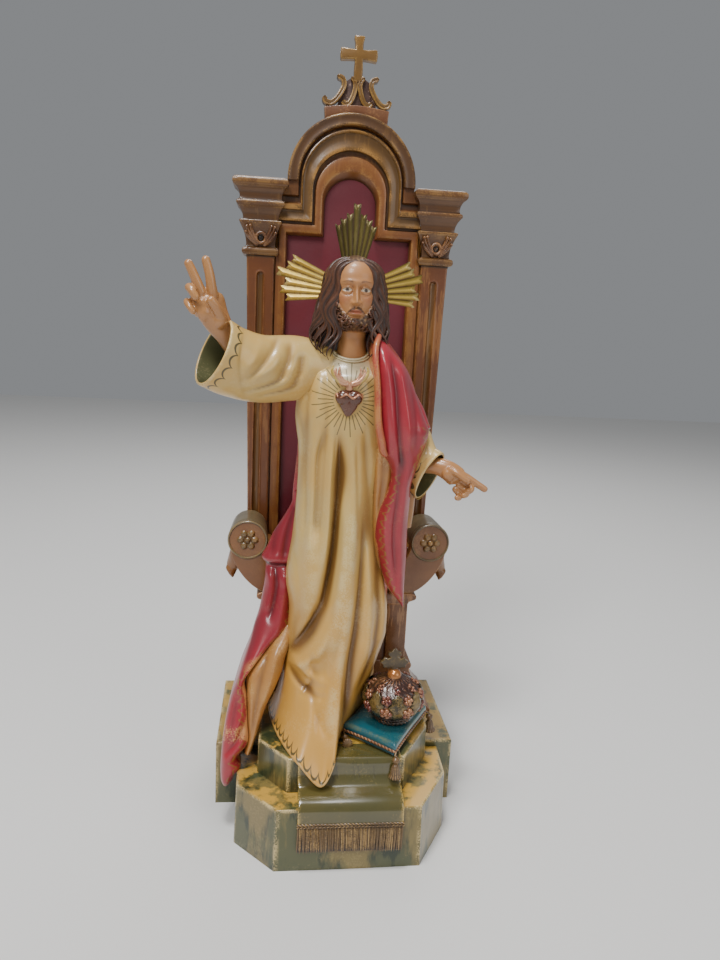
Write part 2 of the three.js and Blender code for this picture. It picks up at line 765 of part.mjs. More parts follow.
const CLOAK_BACK = [
  [492, -14, 36, -10, 12], [470, -38, 54, -6, 20], [420, -50, 72, -2, 27], [380, -51, 74, 0, 31],
  [340, -54, 68, 0, 34], [300, -54, 56, 0, 40], [270, -52, 53, 2, 56], [245, -52, 53, 4, 74],
  [214, -52, 53, 6, 82],
];

const CLOAK_TRAIN = [
  [338, -52, -38, -2, 28], [310, -64, -38, -4, 31], [285, -77, -42, -7, 34], [270, -84, -44, -9, 35],
  [263, -79, -44, -4, 34], [255, -80, -44, -6, 34], [241, -81, -46, -12, 35], [215, -85, -46, -18, 35],
  [185, -94, -48, -27, 36], [154, -105, -52, -42, 20], [133, -112, -60, -50, 5], [110, -116, -72, -55, -8],
  [90, -118, -84, -58, -14], [67, -119.5, -94, -61, -18], [56, -119.5, -101, -60, -25],
  [46, -118.5, -107, -57, -36],
];

function pleats(count, depth, phase) {
  return (angle) => depth * Math.cos(count * angle + phase);
}

function cloak() {
  return unite([
    slices(CLOAK_FRONT, evenly(497, 364, 7), 14, pleats(6, 1.6, 0.6)),
    slices(CLOAK_TAIL, evenly(372, 235, 6), 8, pleats(3, 1, 0)),
    slices(CLOAK_LINING, evenly(400, 262, 4), 6),
    slices(CLOAK_BACK, evenly(492, 214, 6), 16, pleats(7, 2, 0.4)),
    slices(CLOAK_TRAIN, [338, 306, 270, 262, 245, 215, 185, 154, 122, 90, 66, 46], 10, pleats(5, 1.4, 1)),
  ]);
}

// Figure: head, hair and beard

function head() {
  const { x, y, z } = HEAD;
  const skull = ball(x, y, z, 20, 27, 31, 8, 5);
  const face = ball(x - 1, y - 8, z - 6, 16.5, 19.5, 26, 10, 6);
  const neck = limb([[x, y + 3, 476, 17, 15], [x, y, 518, 13.5, 14]], 8, 1);
  const nose = limb([
    [x - 2, y - 25, z + 4, 2, 2], [x - 2, y - 29.4, z - 5, 3, 2.6], [x - 2, y - 25, z - 8, 3, 2],
  ], 6, 2);
  const brow = limb([
    [x - 13, y - 19, z + 5, 2, 2], [x - 1.5, y - 26, z + 6.5, 2.4, 2], [x + 10, y - 20, z + 5, 2, 2],
  ], 5, 2);
  const beard = unite([
    ball(x - 1.5, y - 20, z - 27, 12, 9.5, 10, 8, 5),
    ball(x + 8, y - 14, z - 20, 8, 9, 11, 6, 4),
    ball(x - 12, y - 14, z - 20, 7, 9, 11, 6, 4),
  ]);
  return unite([skull, face, neck, nose, brow, beard]);
}

function hair() {
  const { x, y, z } = HEAD;
  const cap = ball(x, y + 5, z + 4, 26, 28, 30, 12, 8)
    .subtract(ball(x - 1.5, y - 24, z - 8, 18, 24, 31, 10, 6));
  const fall = slices([
    [548, -30, 22, -24, 10], [530, -33, 26, -26, 12], [512, -38, 31, -26, 13], [498, -42, 35, -26, 15],
    [484, -36, 31, -22, 17], [466, -22, 16, -14, 19],
  ], evenly(548, 466, 5), 12, pleats(6, 1.2, 0));
  const lock = (side, out, ahead, low, wide) => limb([
    [x + side * 22, y - 6 - ahead, z + 8, wide, wide * 0.8],
    [x + side * (25 + out * 0.3), y - 8 - ahead, z - 12, wide, wide * 0.8],
    [x + side * (26 + out), y - 10 - ahead, z - 32, wide, wide * 0.8],
    [x + side * (22 + out), y - 14 - ahead, low, 0.4 * wide, 0.4 * wide],
  ], 5, 3);
  return unite([
    cap,
    fall,
    lock(-1, 12, -2, 494, 7),
    lock(-1, 4, 6, 484, 6),
    lock(1, 10, -2, 492, 7),
    lock(1, 2, 6, 481, 6),
  ]);
}

function heart() {
  const [x, y, z] = [-7.5, -60, 440];
  const flame = (side) => limb([
    [x, y + 1, z + 12, 4.4, 3], [x + side * 9, y, z + 17, 4, 3], [x + side * 13.5, y + 1, z + 25, 1, 1],
  ], 6, 3);
  return unite([
    ball(x - 3.6, y, z + 3, 7, 6, 7, 8, 4),
    ball(x + 3.6, y, z + 3, 7, 6, 7, 8, 4),
    limb([[x, y + 1, z + 4, 9.4, 5], [x, y + 2, z - 16, 0.8, 0.8]], 8, 2),
    flame(1),
    flame(-1),
  ]);
}

function figure() {
  const whole = unite([
    robe(), cloak(), rightSleeve(), leftSleeve(), rightHand(), leftHand(), head(), hair(), heart(),
  ]);
  const rest = clearOf(whole, [throneSlab(), throneSeatBox()]);
  const stepRoom = withRoom(steppedPedestal(), [[-1, -1, 1], [-1, 1, 1], [1, 1, 1]]);
  const cushionRoom = withRoom(cushionWithTassels(), [[-1, -1, 1], [-1, 1, 1], [-1, 0, -1]]);
  return mainBody(rest.subtract(stepRoom).subtract(cushionRoom));
}

// Ray clusters: fluted fans with notched tips, set in the crown and both sides of the head.

// root and tip are points; tips gives each flute's length as a share, from one side to the other.
function rayFan({ root, tip, side, rootHalf, tipHalf, lengths, thickness }) {
  const start = new THREE.Vector3(...root);
  const reach = new THREE.Vector3(...tip).sub(start);
  const across = new THREE.Vector3(...side).normalize();
  const out = new THREE.Vector3().crossVectors(across, reach).normalize();
  if (out.y > 0) out.negate();
  const count = lengths.length;
  const columns = [];
  lengths.forEach((length, i) => {
    const marks = [[0, 0.88, 0], [0.28, 1, 1.1], [0.72, 1, 1.1]];
    for (const [step, share, rise] of marks) columns.push([(i + step) / count, share * length, rise]);
  });
  columns.push([1, 0.88 * lengths.at(-1), 0]);
  const ring = (t, under) => columns.map(([u, length, rise]) => {
    const along = t * length;
    const half = THREE.MathUtils.lerp(rootHalf, tipHalf, along);
    return start.clone()
      .addScaledVector(reach, along)
      .addScaledVector(across, (2 * u - 1) * half)
      .addScaledVector(out, under ? -thickness : rise);
  });
  const rows = [0, 1].map((t) => [...ring(t, false), ...ring(t, true).reverse()]);
  return loftWithStrips(rows, columns.length);
}

// As loft, but each end is closed by a strip between the front and the back row.
function loftWithStrips(rows, half) {
  const n = rows[0].length;
  const points = rows.flat();
  const faces = [];
  for (let r = 0; r + 1 < rows.length; r++) {
    for (let i = 0; i < n; i++) {
      const a = r * n + i;
      const b = r * n + (i + 1) % n;
      faces.push(a, b, b + n, a, b + n, a + n);
    }
  }
  const last = (rows.length - 1) * n;
  for (let i = 0; i + 1 < half; i++) {
    const j = n - 1 - i;
    faces.push(i, j, j - 1, i, j - 1, i + 1);
    faces.push(last + i, last + j - 1, last + j, last + i, last + i + 1, last + j - 1);
  }
  if (signedVolume(points, faces) < 0) faces.reverse();
  const geometry = new THREE.BufferGeometry();
  geometry.setAttribute('position', new THREE.Float32BufferAttribute(points.flatMap((p) => p.toArray()), 3));
  geometry.setIndex(faces);
  return solidOf(geometry);
}

const RAYS = {
  rays_top: {
    root: [-5, -18, 566], tip: [-3, -10, 621], side: [1, 0, 0], rootHalf: 11, tipHalf: 26,
    lengths: [0.66, 0.76, 0.86, 1, 0.86, 0.76, 0.66], thickness: 0.8,
  },
  rays_left: {
    root: [-24, -18, 541], tip: [-79, -6, 551], side: [0.2, 0, 1], rootHalf: 10, tipHalf: 26,
    lengths: [0.72, 0.82, 0.9, 1, 0.9, 0.86, 0.8], thickness: 0.8,
  },
  rays_right: {
    root: [16, -18, 541], tip: [66, -6, 551], side: [-0.2, 0, 1], rootHalf: 10, tipHalf: 26,
    lengths: [0.72, 0.82, 0.9, 1, 0.9, 0.86, 0.8], thickness: 0.8,
  },
};

// Room for the head and hair, which the flat roots of the rays stop short of.
function headRoom() {
  const { x, y, z } = HEAD;
  return ball(x, y + 5, z + 4, 28.6, 30.6, 32.2, 12, 8);
}

// Cushion with a tassel at each corner, and the crown on it.

// A tassel from a cushion corner, pushed out by a few millimetres and hanging down.
function tassel([cornerX, cornerY], [outX, outY]) {
  const [x, y] = [cornerX + outX, cornerY + outY];
  const z = (CUSHION.bottomZ + CUSHION.topZ) / 2;
  return limb([
    [cornerX - outX, cornerY - outY, z, 2, 2],
    [x, y, z - 2, 2, 2],
    [x, y, z - 7, 3.4, 3.4],
    [x, y, z - 10, 2.2, 2.2],
    [x, y, z - 21, 4.4, 4.4],
  ], 6, 6);
}

function cushionCentre() {
  return middleOf(CUSHION.corners.map(([x, y]) => new THREE.Vector3(x, y, 0)));
}

// A tassel lying on the step, its root a little inside the corner.
function lyingTassel([x, y], [outX, outY]) {
  const z = CUSHION.bottomZ;
  const centre = cushionCentre();
  const inside = 0.07;
  return limb([
    [THREE.MathUtils.lerp(x, centre.x, inside), THREE.MathUtils.lerp(y, centre.y, inside), z + 6, 2, 2],
    [x + 0.5 * outX, y + 0.5 * outY, z + 3.4, 3.2, 3],
    [x + outX, y + outY, z + 3.2, 3.6, 3],
  ], 6, 3);
}

function cushion() {
  const { corners, bottomZ, topZ } = CUSHION;
  const centre = cushionCentre();
  const side = 4;
  const ring = (z, scale) => corners.flatMap(([x, y], i) => {
    const [nx, ny] = corners[(i + 1) % corners.length];
    return Array.from({ length: side }, (_, k) => {
      const f = k / side;
      const reach = scale * (1 - 0.05 * Math.sin(Math.PI * f));
      const px = THREE.MathUtils.lerp(x, nx, f) - centre.x;
      const py = THREE.MathUtils.lerp(y, ny, f) - centre.y;
      return new THREE.Vector3(centre.x + px * reach, centre.y + py * reach, z);
    });
  });
  const middle = (bottomZ + topZ) / 2;
  return loft([
    ring(bottomZ, 0.9),
    ring(bottomZ + 2, 0.97),
    ring(middle, 1),
    ring(topZ - 2.4, 0.98),
    ring(topZ - 0.4, 0.88),
    ring(topZ, 0.6),
  ]);
}

function cushionWithTassels() {
  const [left, front, right, rear] = CUSHION.corners;
  const whole = unite([
    cushion(),
    tassel(front, [0.5, -5.5]),
    tassel(right, [5, 0]),
    lyingTassel(left, [3.5, -21]),
    lyingTassel(rear, [14, 11]),
  ]);
  return mainBody(whole.subtract(withRoom(steppedPedestal(), [[-1, -1, 1], [1, 1, 1]])));
}

// Radius and height of the crown's body from its base upwards.
const CROWN_PROFILE = [
  [16, 0], [18.8, 3.5], [18.4, 6], [25.8, 14], [29.4, 23], [28.8, 31], [24, 38.5], [14, 45],
  [4, CROWN.height],
];

function crown() {
  const { x, y, baseZ, height, orbRadius } = CROWN;
  const [lobes, sides, swelling] = [8, 16, 0.045];
  const rings = CROWN_PROFILE.map(([r, h]) => Array.from({ length: sides }, (_, k) => {
    const angle = 2 * Math.PI * k / sides;
    const swell = 1 + swelling * Math.cos(lobes * angle) * Math.sin(Math.PI * h / height);
    return new THREE.Vector3(x + r * swell * Math.cos(angle), y + r * swell * Math.sin(angle), baseZ + h);
  }));
  const orbZ = baseZ + height + 2.8;
  const low = orbZ + 4;
  const half = [
    [2.2, low], [2, low + 3.5], [5.6, low + 3.6], [9.6, low + 4.2], [12, low + 9.4], [8.8, low + 13.4],
    [3.2, low + 13.8], [5.4, low + 18], [2.6, low + 20.4], [0, low + 23],
  ];
  const outline = [...half, ...half.slice(0, -1).map(([px, pz]) => [-px, pz]).reverse()]
    .map(([px, pz]) => [x + px, pz]);
  return unite([
    loft(rings),
    ball(x, y, orbZ, orbRadius, orbRadius, orbRadius - 0.4, 10, 6),
    plate(shapeOf(outline), y - 1.7, y + 1.7),
  ]);
}

// Assembly

const group = new THREE.Group();

function addPiece(name, solid, colour, roughness, metalness = 0) {
  const material = new THREE.MeshStandardMaterial({ color: colour, roughness, metalness });
  const whole = mainBody(solidOf(geometryOf(solid)));
  const mesh = new THREE.Mesh(geometryOf(whole), material);
  mesh.name = name;
  group.add(mesh);
}

const body = figure();
const { marble, wood, panel, robe: cloth, brass, crest: gold } = COLOURS;

addPiece('throne_slab', throneSlab(), marble, 0.4);
addPiece('stepped_pedestal', steppedPedestal(), marble, 0.35);
addPiece('throne_seat_box', throneSeatBox(), wood, 0.5);
addPiece('throne_back_frame', throneBackFrame(), wood, 0.5);
addPiece('throne_back_panel', throneBackPanel(), panel, 0.6);
addPiece('throne_arm_left', mirrored(throneArm()), wood, 0.5);
addPiece('throne_arm_right', throneArm(), wood, 0.5);
addPiece('crest', crest(), gold, 0.45);
addPiece('figure', body, cloth, 0.35);
addPiece('cushion', cushionWithTassels(), COLOURS.cushion, 0.35);
addPiece('crown', crown(), COLOURS.crown, 0.35, 0.3);
for (const [name, rays] of Object.entries(RAYS)) {
  addPiece(name, mainBody(rayFan(rays).subtract(headRoom())), brass, 0.3, 1);
}

export default group;
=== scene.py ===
# %% [markdown]
# # A carved and painted figure before its throne
# The object is about 80 cm of carved wood under paint and varnish. A robed figure stands on two
# marbled steps, a tall throne rises behind it, and a cushion with a small crown lies beside it.
# Lengths below are in millimetres until a mesh is made, because that is how such a piece is
# measured; X = 0 is the throne's middle plane, Z = 0 the ground, and the front faces -Y.

# %% Frame
import math

import bpy
import numpy as np
from mathutils import Matrix, Vector


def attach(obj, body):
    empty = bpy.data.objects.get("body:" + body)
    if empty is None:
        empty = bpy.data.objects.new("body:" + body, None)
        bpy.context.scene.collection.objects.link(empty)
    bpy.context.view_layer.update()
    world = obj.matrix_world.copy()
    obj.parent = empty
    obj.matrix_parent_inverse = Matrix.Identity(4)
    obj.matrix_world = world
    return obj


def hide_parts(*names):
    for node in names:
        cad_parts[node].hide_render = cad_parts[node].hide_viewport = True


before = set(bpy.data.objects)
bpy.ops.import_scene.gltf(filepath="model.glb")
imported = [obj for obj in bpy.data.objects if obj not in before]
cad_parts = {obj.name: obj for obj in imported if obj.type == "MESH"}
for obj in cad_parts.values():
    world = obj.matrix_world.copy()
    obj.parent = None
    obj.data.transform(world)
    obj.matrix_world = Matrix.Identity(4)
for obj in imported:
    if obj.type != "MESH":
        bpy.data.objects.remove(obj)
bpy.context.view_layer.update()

# %% [markdown]
# ## Camera, floor and light
# The photograph is a close view from slightly above and slightly to the left, so the camera's
# place, turn and focal length are those fitted to the throne's straight edges. The light is that
# of a bright open shade: a large soft source above and in front, a weaker one from the side.

# %% Camera
IMAGE = (720, 960)
FOCAL_PIXELS = 730.9458
SENSOR_MM = 24.0
CAMERA_MM = (-72.0685, -725.4544, 504.3798)
YAW, PITCH, ROLL = 0.117436, 0.203043, 0.051742


def camera_axes(yaw, pitch, roll):
    """Unit vectors to the right, up and ahead: ahead = (sin yaw cos pitch, cos yaw cos pitch,
    -sin pitch), and the level pair beside it is turned by roll."""
    level_part = math.cos(pitch)
    ahead = np.array([math.sin(yaw) * level_part, math.cos(yaw) * level_part, -math.sin(pitch)])
    level = np.array([math.cos(yaw), -math.sin(yaw), 0.0])
    over = np.cross(level, ahead)
    right = math.cos(roll) * level + math.sin(roll) * over
    up = math.cos(roll) * over - math.sin(roll) * level
    return right, up, ahead


camera_data = bpy.data.cameras.new("camera")
camera_data.sensor_fit = "VERTICAL"
camera_data.sensor_height = SENSOR_MM
camera_data.lens = FOCAL_PIXELS / IMAGE[1] * SENSOR_MM
camera = bpy.data.objects.new("camera", camera_data)
right, up, ahead = camera_axes(YAW, PITCH, ROLL)
turn = Matrix([[right[i], up[i], -ahead[i]] for i in range(3)]).to_4x4()
camera.matrix_world = Matrix.Translation([v / 1000 for v in CAMERA_MM]) @ turn
bpy.context.scene.collection.objects.link(camera)
bpy.context.scene.camera = camera
print("lens", round(camera_data.lens, 2), "mm")

# %% Helpers for node trees
def put(tree, kind, inputs=None, **settings):
    """Adds a shader node, sets its settings, and joins or fills the inputs named."""
    made = tree.nodes.new("ShaderNode" + kind)
    for key, value in settings.items():
        setattr(made, key, value)
    for key, value in (inputs or {}).items():
        if isinstance(value, bpy.types.NodeSocket):
            tree.links.new(value, made.inputs[key])
        else:
            made.inputs[key].default_value = value
    return made


def maths(tree, operation, a, b=0.0, clamp=False):
    """One value node: a operation b."""
    return put(tree, "Math", {0: a, 1: b}, operation=operation, use_clamp=clamp).outputs[0]


def times(tree, a, b, clamp=False):
    """A node for a times b."""
    return maths(tree, "MULTIPLY", a, b, clamp)


def plus(tree, a, b):
    """A node for a plus b."""
    return maths(tree, "ADD", a, b)


def minus(tree, a, b, clamp=False):
    """A node for a minus b."""
    return maths(tree, "SUBTRACT", a, b, clamp)


def blend_colours(tree, factor, a, b):
    """Colour a where factor is 0 and b where it is 1. Either is a socket or three numbers."""
    a, b = ((*colour, 1) if isinstance(colour, tuple) else colour for colour in (a, b))
    return put(tree, "Mix", {0: factor, 6: a, 7: b}, data_type="RGBA").outputs[2]


def ramp(tree, value, low, high):
    """0 below low, 1 above high, smooth between; low above high turns it round."""
    limits = {0: value, 1: low, 2: high, 3: 0.0, 4: 1.0}
    return put(tree, "MapRange", limits, interpolation_type="SMOOTHSTEP").outputs[0]


def attribute(tree, name):
    """The value that the mesh carries under this name."""
    return put(tree, "Attribute", attribute_name=name).outputs["Fac"]


def material_with(name, build):
    """A material whose one Principled shader gets the inputs that build(tree) returns."""
    material = bpy.data.materials.new(name)
    material.use_nodes = True
    tree = material.node_tree
    tree.nodes.clear()
    shader = put(tree, "BsdfPrincipled", build(tree))
    put(tree, "OutputMaterial", {"Surface": shader.outputs[0]})
    return material

# %% Floor and light
FLOOR_COLOUR = (0.72, 0.71, 0.69, 1)
SKY_COLOUR, SKY_STRENGTH = (0.93, 0.96, 1.0, 1), 0.26
LIGHTS = [
    # name, place in metres, size in metres, power in watts
    ("key", (-1.0, -1.5, 2.3), 0.8, 42),
    ("top", (-0.3, -0.4, 2.9), 0.5, 52),
    ("fill", (1.6, -1.5, 1.1), 1.4, 11),
    ("back", (0.4, 1.6, 1.9), 1.2, 12),
]
bpy.ops.mesh.primitive_plane_add(size=8, location=(0, 0, 0))
floor = bpy.context.object
floor.name = "floor"
floor.data.materials.append(
    material_with("floor_pale", lambda tree: {"Base Color": FLOOR_COLOUR, "Roughness": 0.9}))

for name, place, size, power in LIGHTS:
    data = bpy.data.lights.new(name, "AREA")
    data.size = size
    data.energy = power
    lamp = bpy.data.objects.new(name, data)
    towards_middle = (-Vector(place)).to_track_quat("-Z", "Y")
    lamp.matrix_world = Matrix.Translation(place) @ towards_middle.to_matrix().to_4x4()
    bpy.context.scene.collection.objects.link(lamp)

world = bpy.data.worlds.new("sky")
world.use_nodes = True
background = world.node_tree.nodes["Background"]
background.inputs[0].default_value = SKY_COLOUR
background.inputs[1].default_value = SKY_STRENGTH
bpy.context.scene.world = world
print(len(LIGHTS), "lights")

# %% [markdown]
# ## How a surface is made
# Carved cloth, mouldings and turned pieces are all surfaces over two parameters: a profile and a
# path, or an angle and a height. Each is computed as one grid of points with numpy, closed at its
# ends, turned so that it faces out, and handed to one function that makes the mesh. Sculpting could
# make them too; a formula stays exact and is changed by one number.

# %% Grids and meshes
def smooth_rows(table, t):
    """Rows of a table at the values t of its first column: cubic Hermite spans between the knots,
    each knot's slope being the central difference of its neighbours."""
    table = np.asarray(table, float)
    if table[0, 0] > table[-1, 0]:
        table = table[::-1]
    knots = table[:, 0]
    slopes = np.gradient(table, knots, axis=0)
    t = np.asarray(t, float)
    i = np.clip(np.searchsorted(knots, t) - 1, 0, len(knots) - 2)
    span = knots[i + 1] - knots[i]
    f = np.clip((t - knots[i]) / span, 0, 1)[..., None]
    span = span[..., None]
    f2, f3 = f ** 2, f ** 3
    return (table[i] * (2 * f3 - 3 * f2 + 1) + slopes[i] * span * (f3 - 2 * f2 + f)
            + table[i + 1] * (3 * f2 - 2 * f3) + slopes[i + 1] * span * (f3 - f2))


def smooth_step(t):
    """0 below 0, 1 above 1, and 3t^2 - 2t^3 between."""
    t = np.clip(t, 0, 1)
    return t * t * (3 - 2 * t)


def bell(value, middle, half):
    """A Gaussian bump of height 1 and the given half width."""
    return np.exp(-((value - middle) / half) ** 2)


def round_angles(count):
    """Bearings evenly spaced round a circle, from 0."""
    return np.linspace(0, 2 * np.pi, count, endpoint=False)


def unit(vectors):
    """Vectors of length 1 in the directions given."""
    return vectors / np.maximum(np.linalg.norm(vectors, axis=-1, keepdims=True), 1e-9)


def run_along(points):
    """The length of a line from its first point to each of its points."""
    return np.concatenate([[0], np.cumsum(np.linalg.norm(np.diff(points, axis=0), axis=1))])


def xyz(x, y, z):
    """Points from three blocks of coordinates, each stretched to the shape they share."""
    return np.stack(np.broadcast_arrays(x, y, z), -1)


def smooth_path(stations, steps):
    """Rows at even steps along a smooth line through the stations."""
    knots = np.linspace(0, 1, len(stations))
    return smooth_rows(np.column_stack([knots, stations]), np.linspace(0, 1, steps))[:, 1:]

# %% Closed grids
def closed_grid(points, wrap_rows=False):
    """Vertices and faces of a grid of rings (rows, columns, 3), each column joined to the next and
    the last to the first. A fan closes each end, unless the rows come round as well. The faces are
    turned so that the enclosed volume is positive."""
    rows, cols, _ = points.shape
    verts = points.reshape(-1, 3)
    row, col = np.meshgrid(np.arange(rows if wrap_rows else rows - 1), np.arange(cols), indexing="ij")
    next_row, next_col = (row + 1) % rows, (col + 1) % cols
    quads = np.stack([row * cols + col, row * cols + next_col, next_row * cols + next_col,
                      next_row * cols + col], -1).reshape(-1, 4)
    fans = np.empty((0, 3), int)
    if not wrap_rows:
        ring = np.arange(cols)
        after = (ring + 1) % cols
        first, top = rows * cols, (rows - 1) * cols
        fans = np.concatenate([np.column_stack([0 * ring + first, after, ring]),
                               np.column_stack([0 * ring + first + 1, top + ring, top + after])])
        verts = np.concatenate([verts, points[:1].mean(1), points[-1:].mean(1)])
    triangles = np.concatenate([quads[:, [0, 1, 2]], quads[:, [0, 2, 3]], fans])
    a, b, c = (verts[triangles[:, k]] for k in range(3))
    if np.einsum("ij,ij->i", a, np.cross(b, c)).sum() < 0:
        quads, fans = quads[:, ::-1], fans[:, ::-1]
    return verts, [quads, fans]


def part_of(points, material, wrap_rows=False, **values):
    """A closed grid as a part for add_piece."""
    verts, faces = closed_grid(points, wrap_rows)
    return {"verts": verts, "faces": faces, "material": material, "values": values}

# %% Meshes and pieces
def mesh_of(name, verts, faces):
    """A mesh from vertices in millimetres."""
    mesh = bpy.data.meshes.new(name)
    mesh.from_pydata((np.concatenate(verts) / 1000).tolist(), [], faces)
    return mesh


def add_piece(name, parts, nodes=(), sharp_degrees=None):
    """One Blender object from several parts. Each is a dict with verts in mm, faces, a material and
    values such as hollow and wear: one number, or one for each vertex, of which the last also
    holds for the points that close the ends."""
    verts, faces, owners, materials, start = [], [], [], [], 0
    keys = sorted({key for part in parts for key in part["values"]})
    columns = {key: [] for key in keys}
    for part in parts:
        if part["material"] not in materials:
            materials.append(part["material"])
        verts.append(part["verts"])
        for block in part["faces"]:
            faces.extend((block + start).tolist())
            owners.append(np.full(len(block), materials.index(part["material"])))
        for key in keys:
            given = np.ravel(part["values"].get(key, 0.0))
            column = np.full(len(part["verts"]), float(given[-1]))
            column[:len(given)] = given
            columns[key].append(column)
        start += len(part["verts"])
    mesh = mesh_of(name, verts, faces)
    for material in materials:
        mesh.materials.append(material)
    mesh.polygons.foreach_set("material_index", np.concatenate(owners).astype(np.int32))
    mesh.polygons.foreach_set("use_smooth", np.full(len(mesh.polygons), True))
    for key in keys:
        layer = mesh.attributes.new(key, "FLOAT", "POINT")
        layer.data.foreach_set("value", np.concatenate(columns[key]).astype(np.float32))
    if sharp_degrees:
        mesh.set_sharp_from_angle(angle=math.radians(sharp_degrees))
    mesh.update()
    piece = bpy.data.objects.new(name, mesh)
    bpy.context.scene.collection.objects.link(piece)
    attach(piece, "root")
    if nodes:
        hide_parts(*nodes)
    print(f"{name}: {sum(len(face.vertices) - 2 for face in mesh.polygons)} triangles")
    return piece

# %% Tubes and level slices
ROUND_END_LEAST = 0.02


def ellipse_rings(centres, across, over, wide, high, sides):
    """Rings round a path: centre + wide cos a across + high sin a over. wide and high are one
    number, one for each ring or one for each point."""
    angle = round_angles(sides)
    wide, high = (np.reshape(v, (-1, 1)) if np.ndim(v) < 2 else v for v in (wide, high))
    across, over = (np.broadcast_to(v, centres.shape)[:, None] for v in (across, over))
    return (centres[:, None] + (wide * np.cos(angle))[..., None] * across
            + (high * np.sin(angle))[..., None] * over)


def path_frame(centres, up=(0, 0, 1)):
    """Unit vectors across and over a path: across = ahead x up, over = across x ahead."""
    ahead = unit(np.gradient(centres, axis=0))
    across = np.cross(ahead, np.asarray(up, float))
    length = np.linalg.norm(across, axis=1, keepdims=True)
    across = np.where(length > 0.05, across / np.maximum(length, 1e-9), [[1.0, 0, 0]])
    return across, unit(np.cross(across, ahead))


def tube(stations, sides=16, steps=24, up=(0, 0, 1)):
    """A tube through stations [x, y, z, wide, high], smooth between them. Its radii close in as a
    half circle over the first and last radius of the path."""
    rows = smooth_path(stations, steps)
    centres, wide, high = rows[:, :3], rows[:, 3], rows[:, 4]
    run = run_along(centres)
    for reach in (run, run[-1] - run):
        near = np.clip(reach / np.maximum(np.minimum(wide, high), 1e-6), 0, 1)
        close = np.sqrt(np.clip(1 - (1 - near) ** 2, ROUND_END_LEAST, 1))
        wide, high = wide * close, high * close
    return ellipse_rings(centres, *path_frame(centres, up), wide, high, sides)


def ball_rings(centre, radii, across=20, down=12):
    """An ellipsoid as rings from its foot to its top."""
    lift, turn = np.linspace(-np.pi / 2, np.pi / 2, down)[:, None], round_angles(across)
    ball = xyz(np.cos(lift) * np.cos(turn), np.cos(lift) * np.sin(turn), np.sin(lift))
    return ball * np.asarray(radii, float) + np.asarray(centre, float)

# %% Creases
FOLD_POWER = 1.7


def crease(x, z, line, half, depth):
    """A carved fold along a line [x, z]: depth exp(-|(x - line(z)) / half|^FOLD_POWER), faded out
    over three tenths of its length at both ends. half may be a pair, for a groove with one steep
    and one gentle side."""
    knots = np.array(line)[:, ::-1]
    away = x - smooth_rows(knots, z)[..., 1]
    near, far = half if isinstance(half, tuple) else (half, half)
    scaled = np.abs(away) / np.where(away < 0, near, far)
    low, top = knots[:, 0].min(), knots[:, 0].max()
    fade = max(12.0, 0.3 * (top - low))
    ends = smooth_step((z - low) / fade + 0.5) * smooth_step((top - z) / fade + 0.5)
    return depth * ends * np.exp(-scaled ** FOLD_POWER)


def folds_at(x, z, folds):
    """The sum of all creases at the points x, z, and how hollow and how ridged it is there."""
    depth = sum((crease(x, z, *fold) for fold in folds), 0 * x)
    return depth, np.clip(depth / 6, 0, 1), np.clip(-depth / 6, 0, 1)


print("helpers ready")

# %% [markdown]
# ## Old paint on wood
# The colours are thin oil paint over chalk ground, darkened with brown patina in the hollows and
# rubbed through on the ridges, then varnished. The same darkening also carries painted shade where a
# piece marks a place as shaded. Three masks say where: broad clouds, fine flecks, and streaks along
# one direction. They are shared groups that read object coordinates only. Painted images could do the
# same, but noise needs no files and fits every piece.

# %% Shared masks
def mask_group(name, scales, low, high, stretch=(1.0, 1.0, 1.0)):
    """A group whose one output is a mask from the product of two noises over object coordinates:
    a broad one says where, a fine one breaks it into flecks."""
    group = bpy.data.node_groups.new(name, "ShaderNodeTree")
    group.interface.new_socket("Mask", in_out="OUTPUT", socket_type="NodeSocketFloat")
    place = put(group, "TexCoord").outputs["Object"]
    mapped = put(group, "Mapping", {0: place, 3: stretch}).outputs[0]
    broad = put(group, "TexNoise", {"Vector": place, "Scale": scales[0], "Detail": 2.0}).outputs[0]
    fine = put(group, "TexNoise", {"Vector": mapped, "Scale": scales[1], "Detail": 6.0, "Roughness": 0.65})
    both = plus(group, times(group, broad, 0.45), times(group, fine.outputs[0], 0.55))
    out = group.nodes.new("NodeGroupOutput")
    group.links.new(ramp(group, both, low, high), out.inputs[0])
    return group


CLOUDS = mask_group("clouds", (9, 26), 0.42, 0.6)
FLECKS = mask_group("flecks", (30, 420), 0.56, 0.6)
RUBBED = mask_group("rubbed", (60, 700), 0.44, 0.56)
STREAKS = mask_group("streaks", (14, 260), 0.555, 0.6, (1.0, 1.0, 0.12))
VEINS = mask_group("veins", (16, 45), 0.48, 0.54, (1.0, 1.0, 0.3))


def mask(tree, group):
    """The mask of a shared group."""
    made = tree.nodes.new("ShaderNodeGroup")
    made.node_tree = group
    return made.outputs[0]


def bump_from(tree, scale, strength, distance):
    """A normal from fine noise: brush marks, craquelure and dust under the varnish."""
    place = put(tree, "TexCoord").outputs["Object"]
    grain = put(tree, "TexNoise", {"Vector": place, "Scale": scale, "Detail": 5.0}).outputs[0]
    return put(tree, "Bump", {"Strength": strength, "Distance": distance, "Height": grain}).outputs[0]


print(len(bpy.data.node_groups), "shared masks")

# %% Painted wood
BUMP_METRES = 0.0006


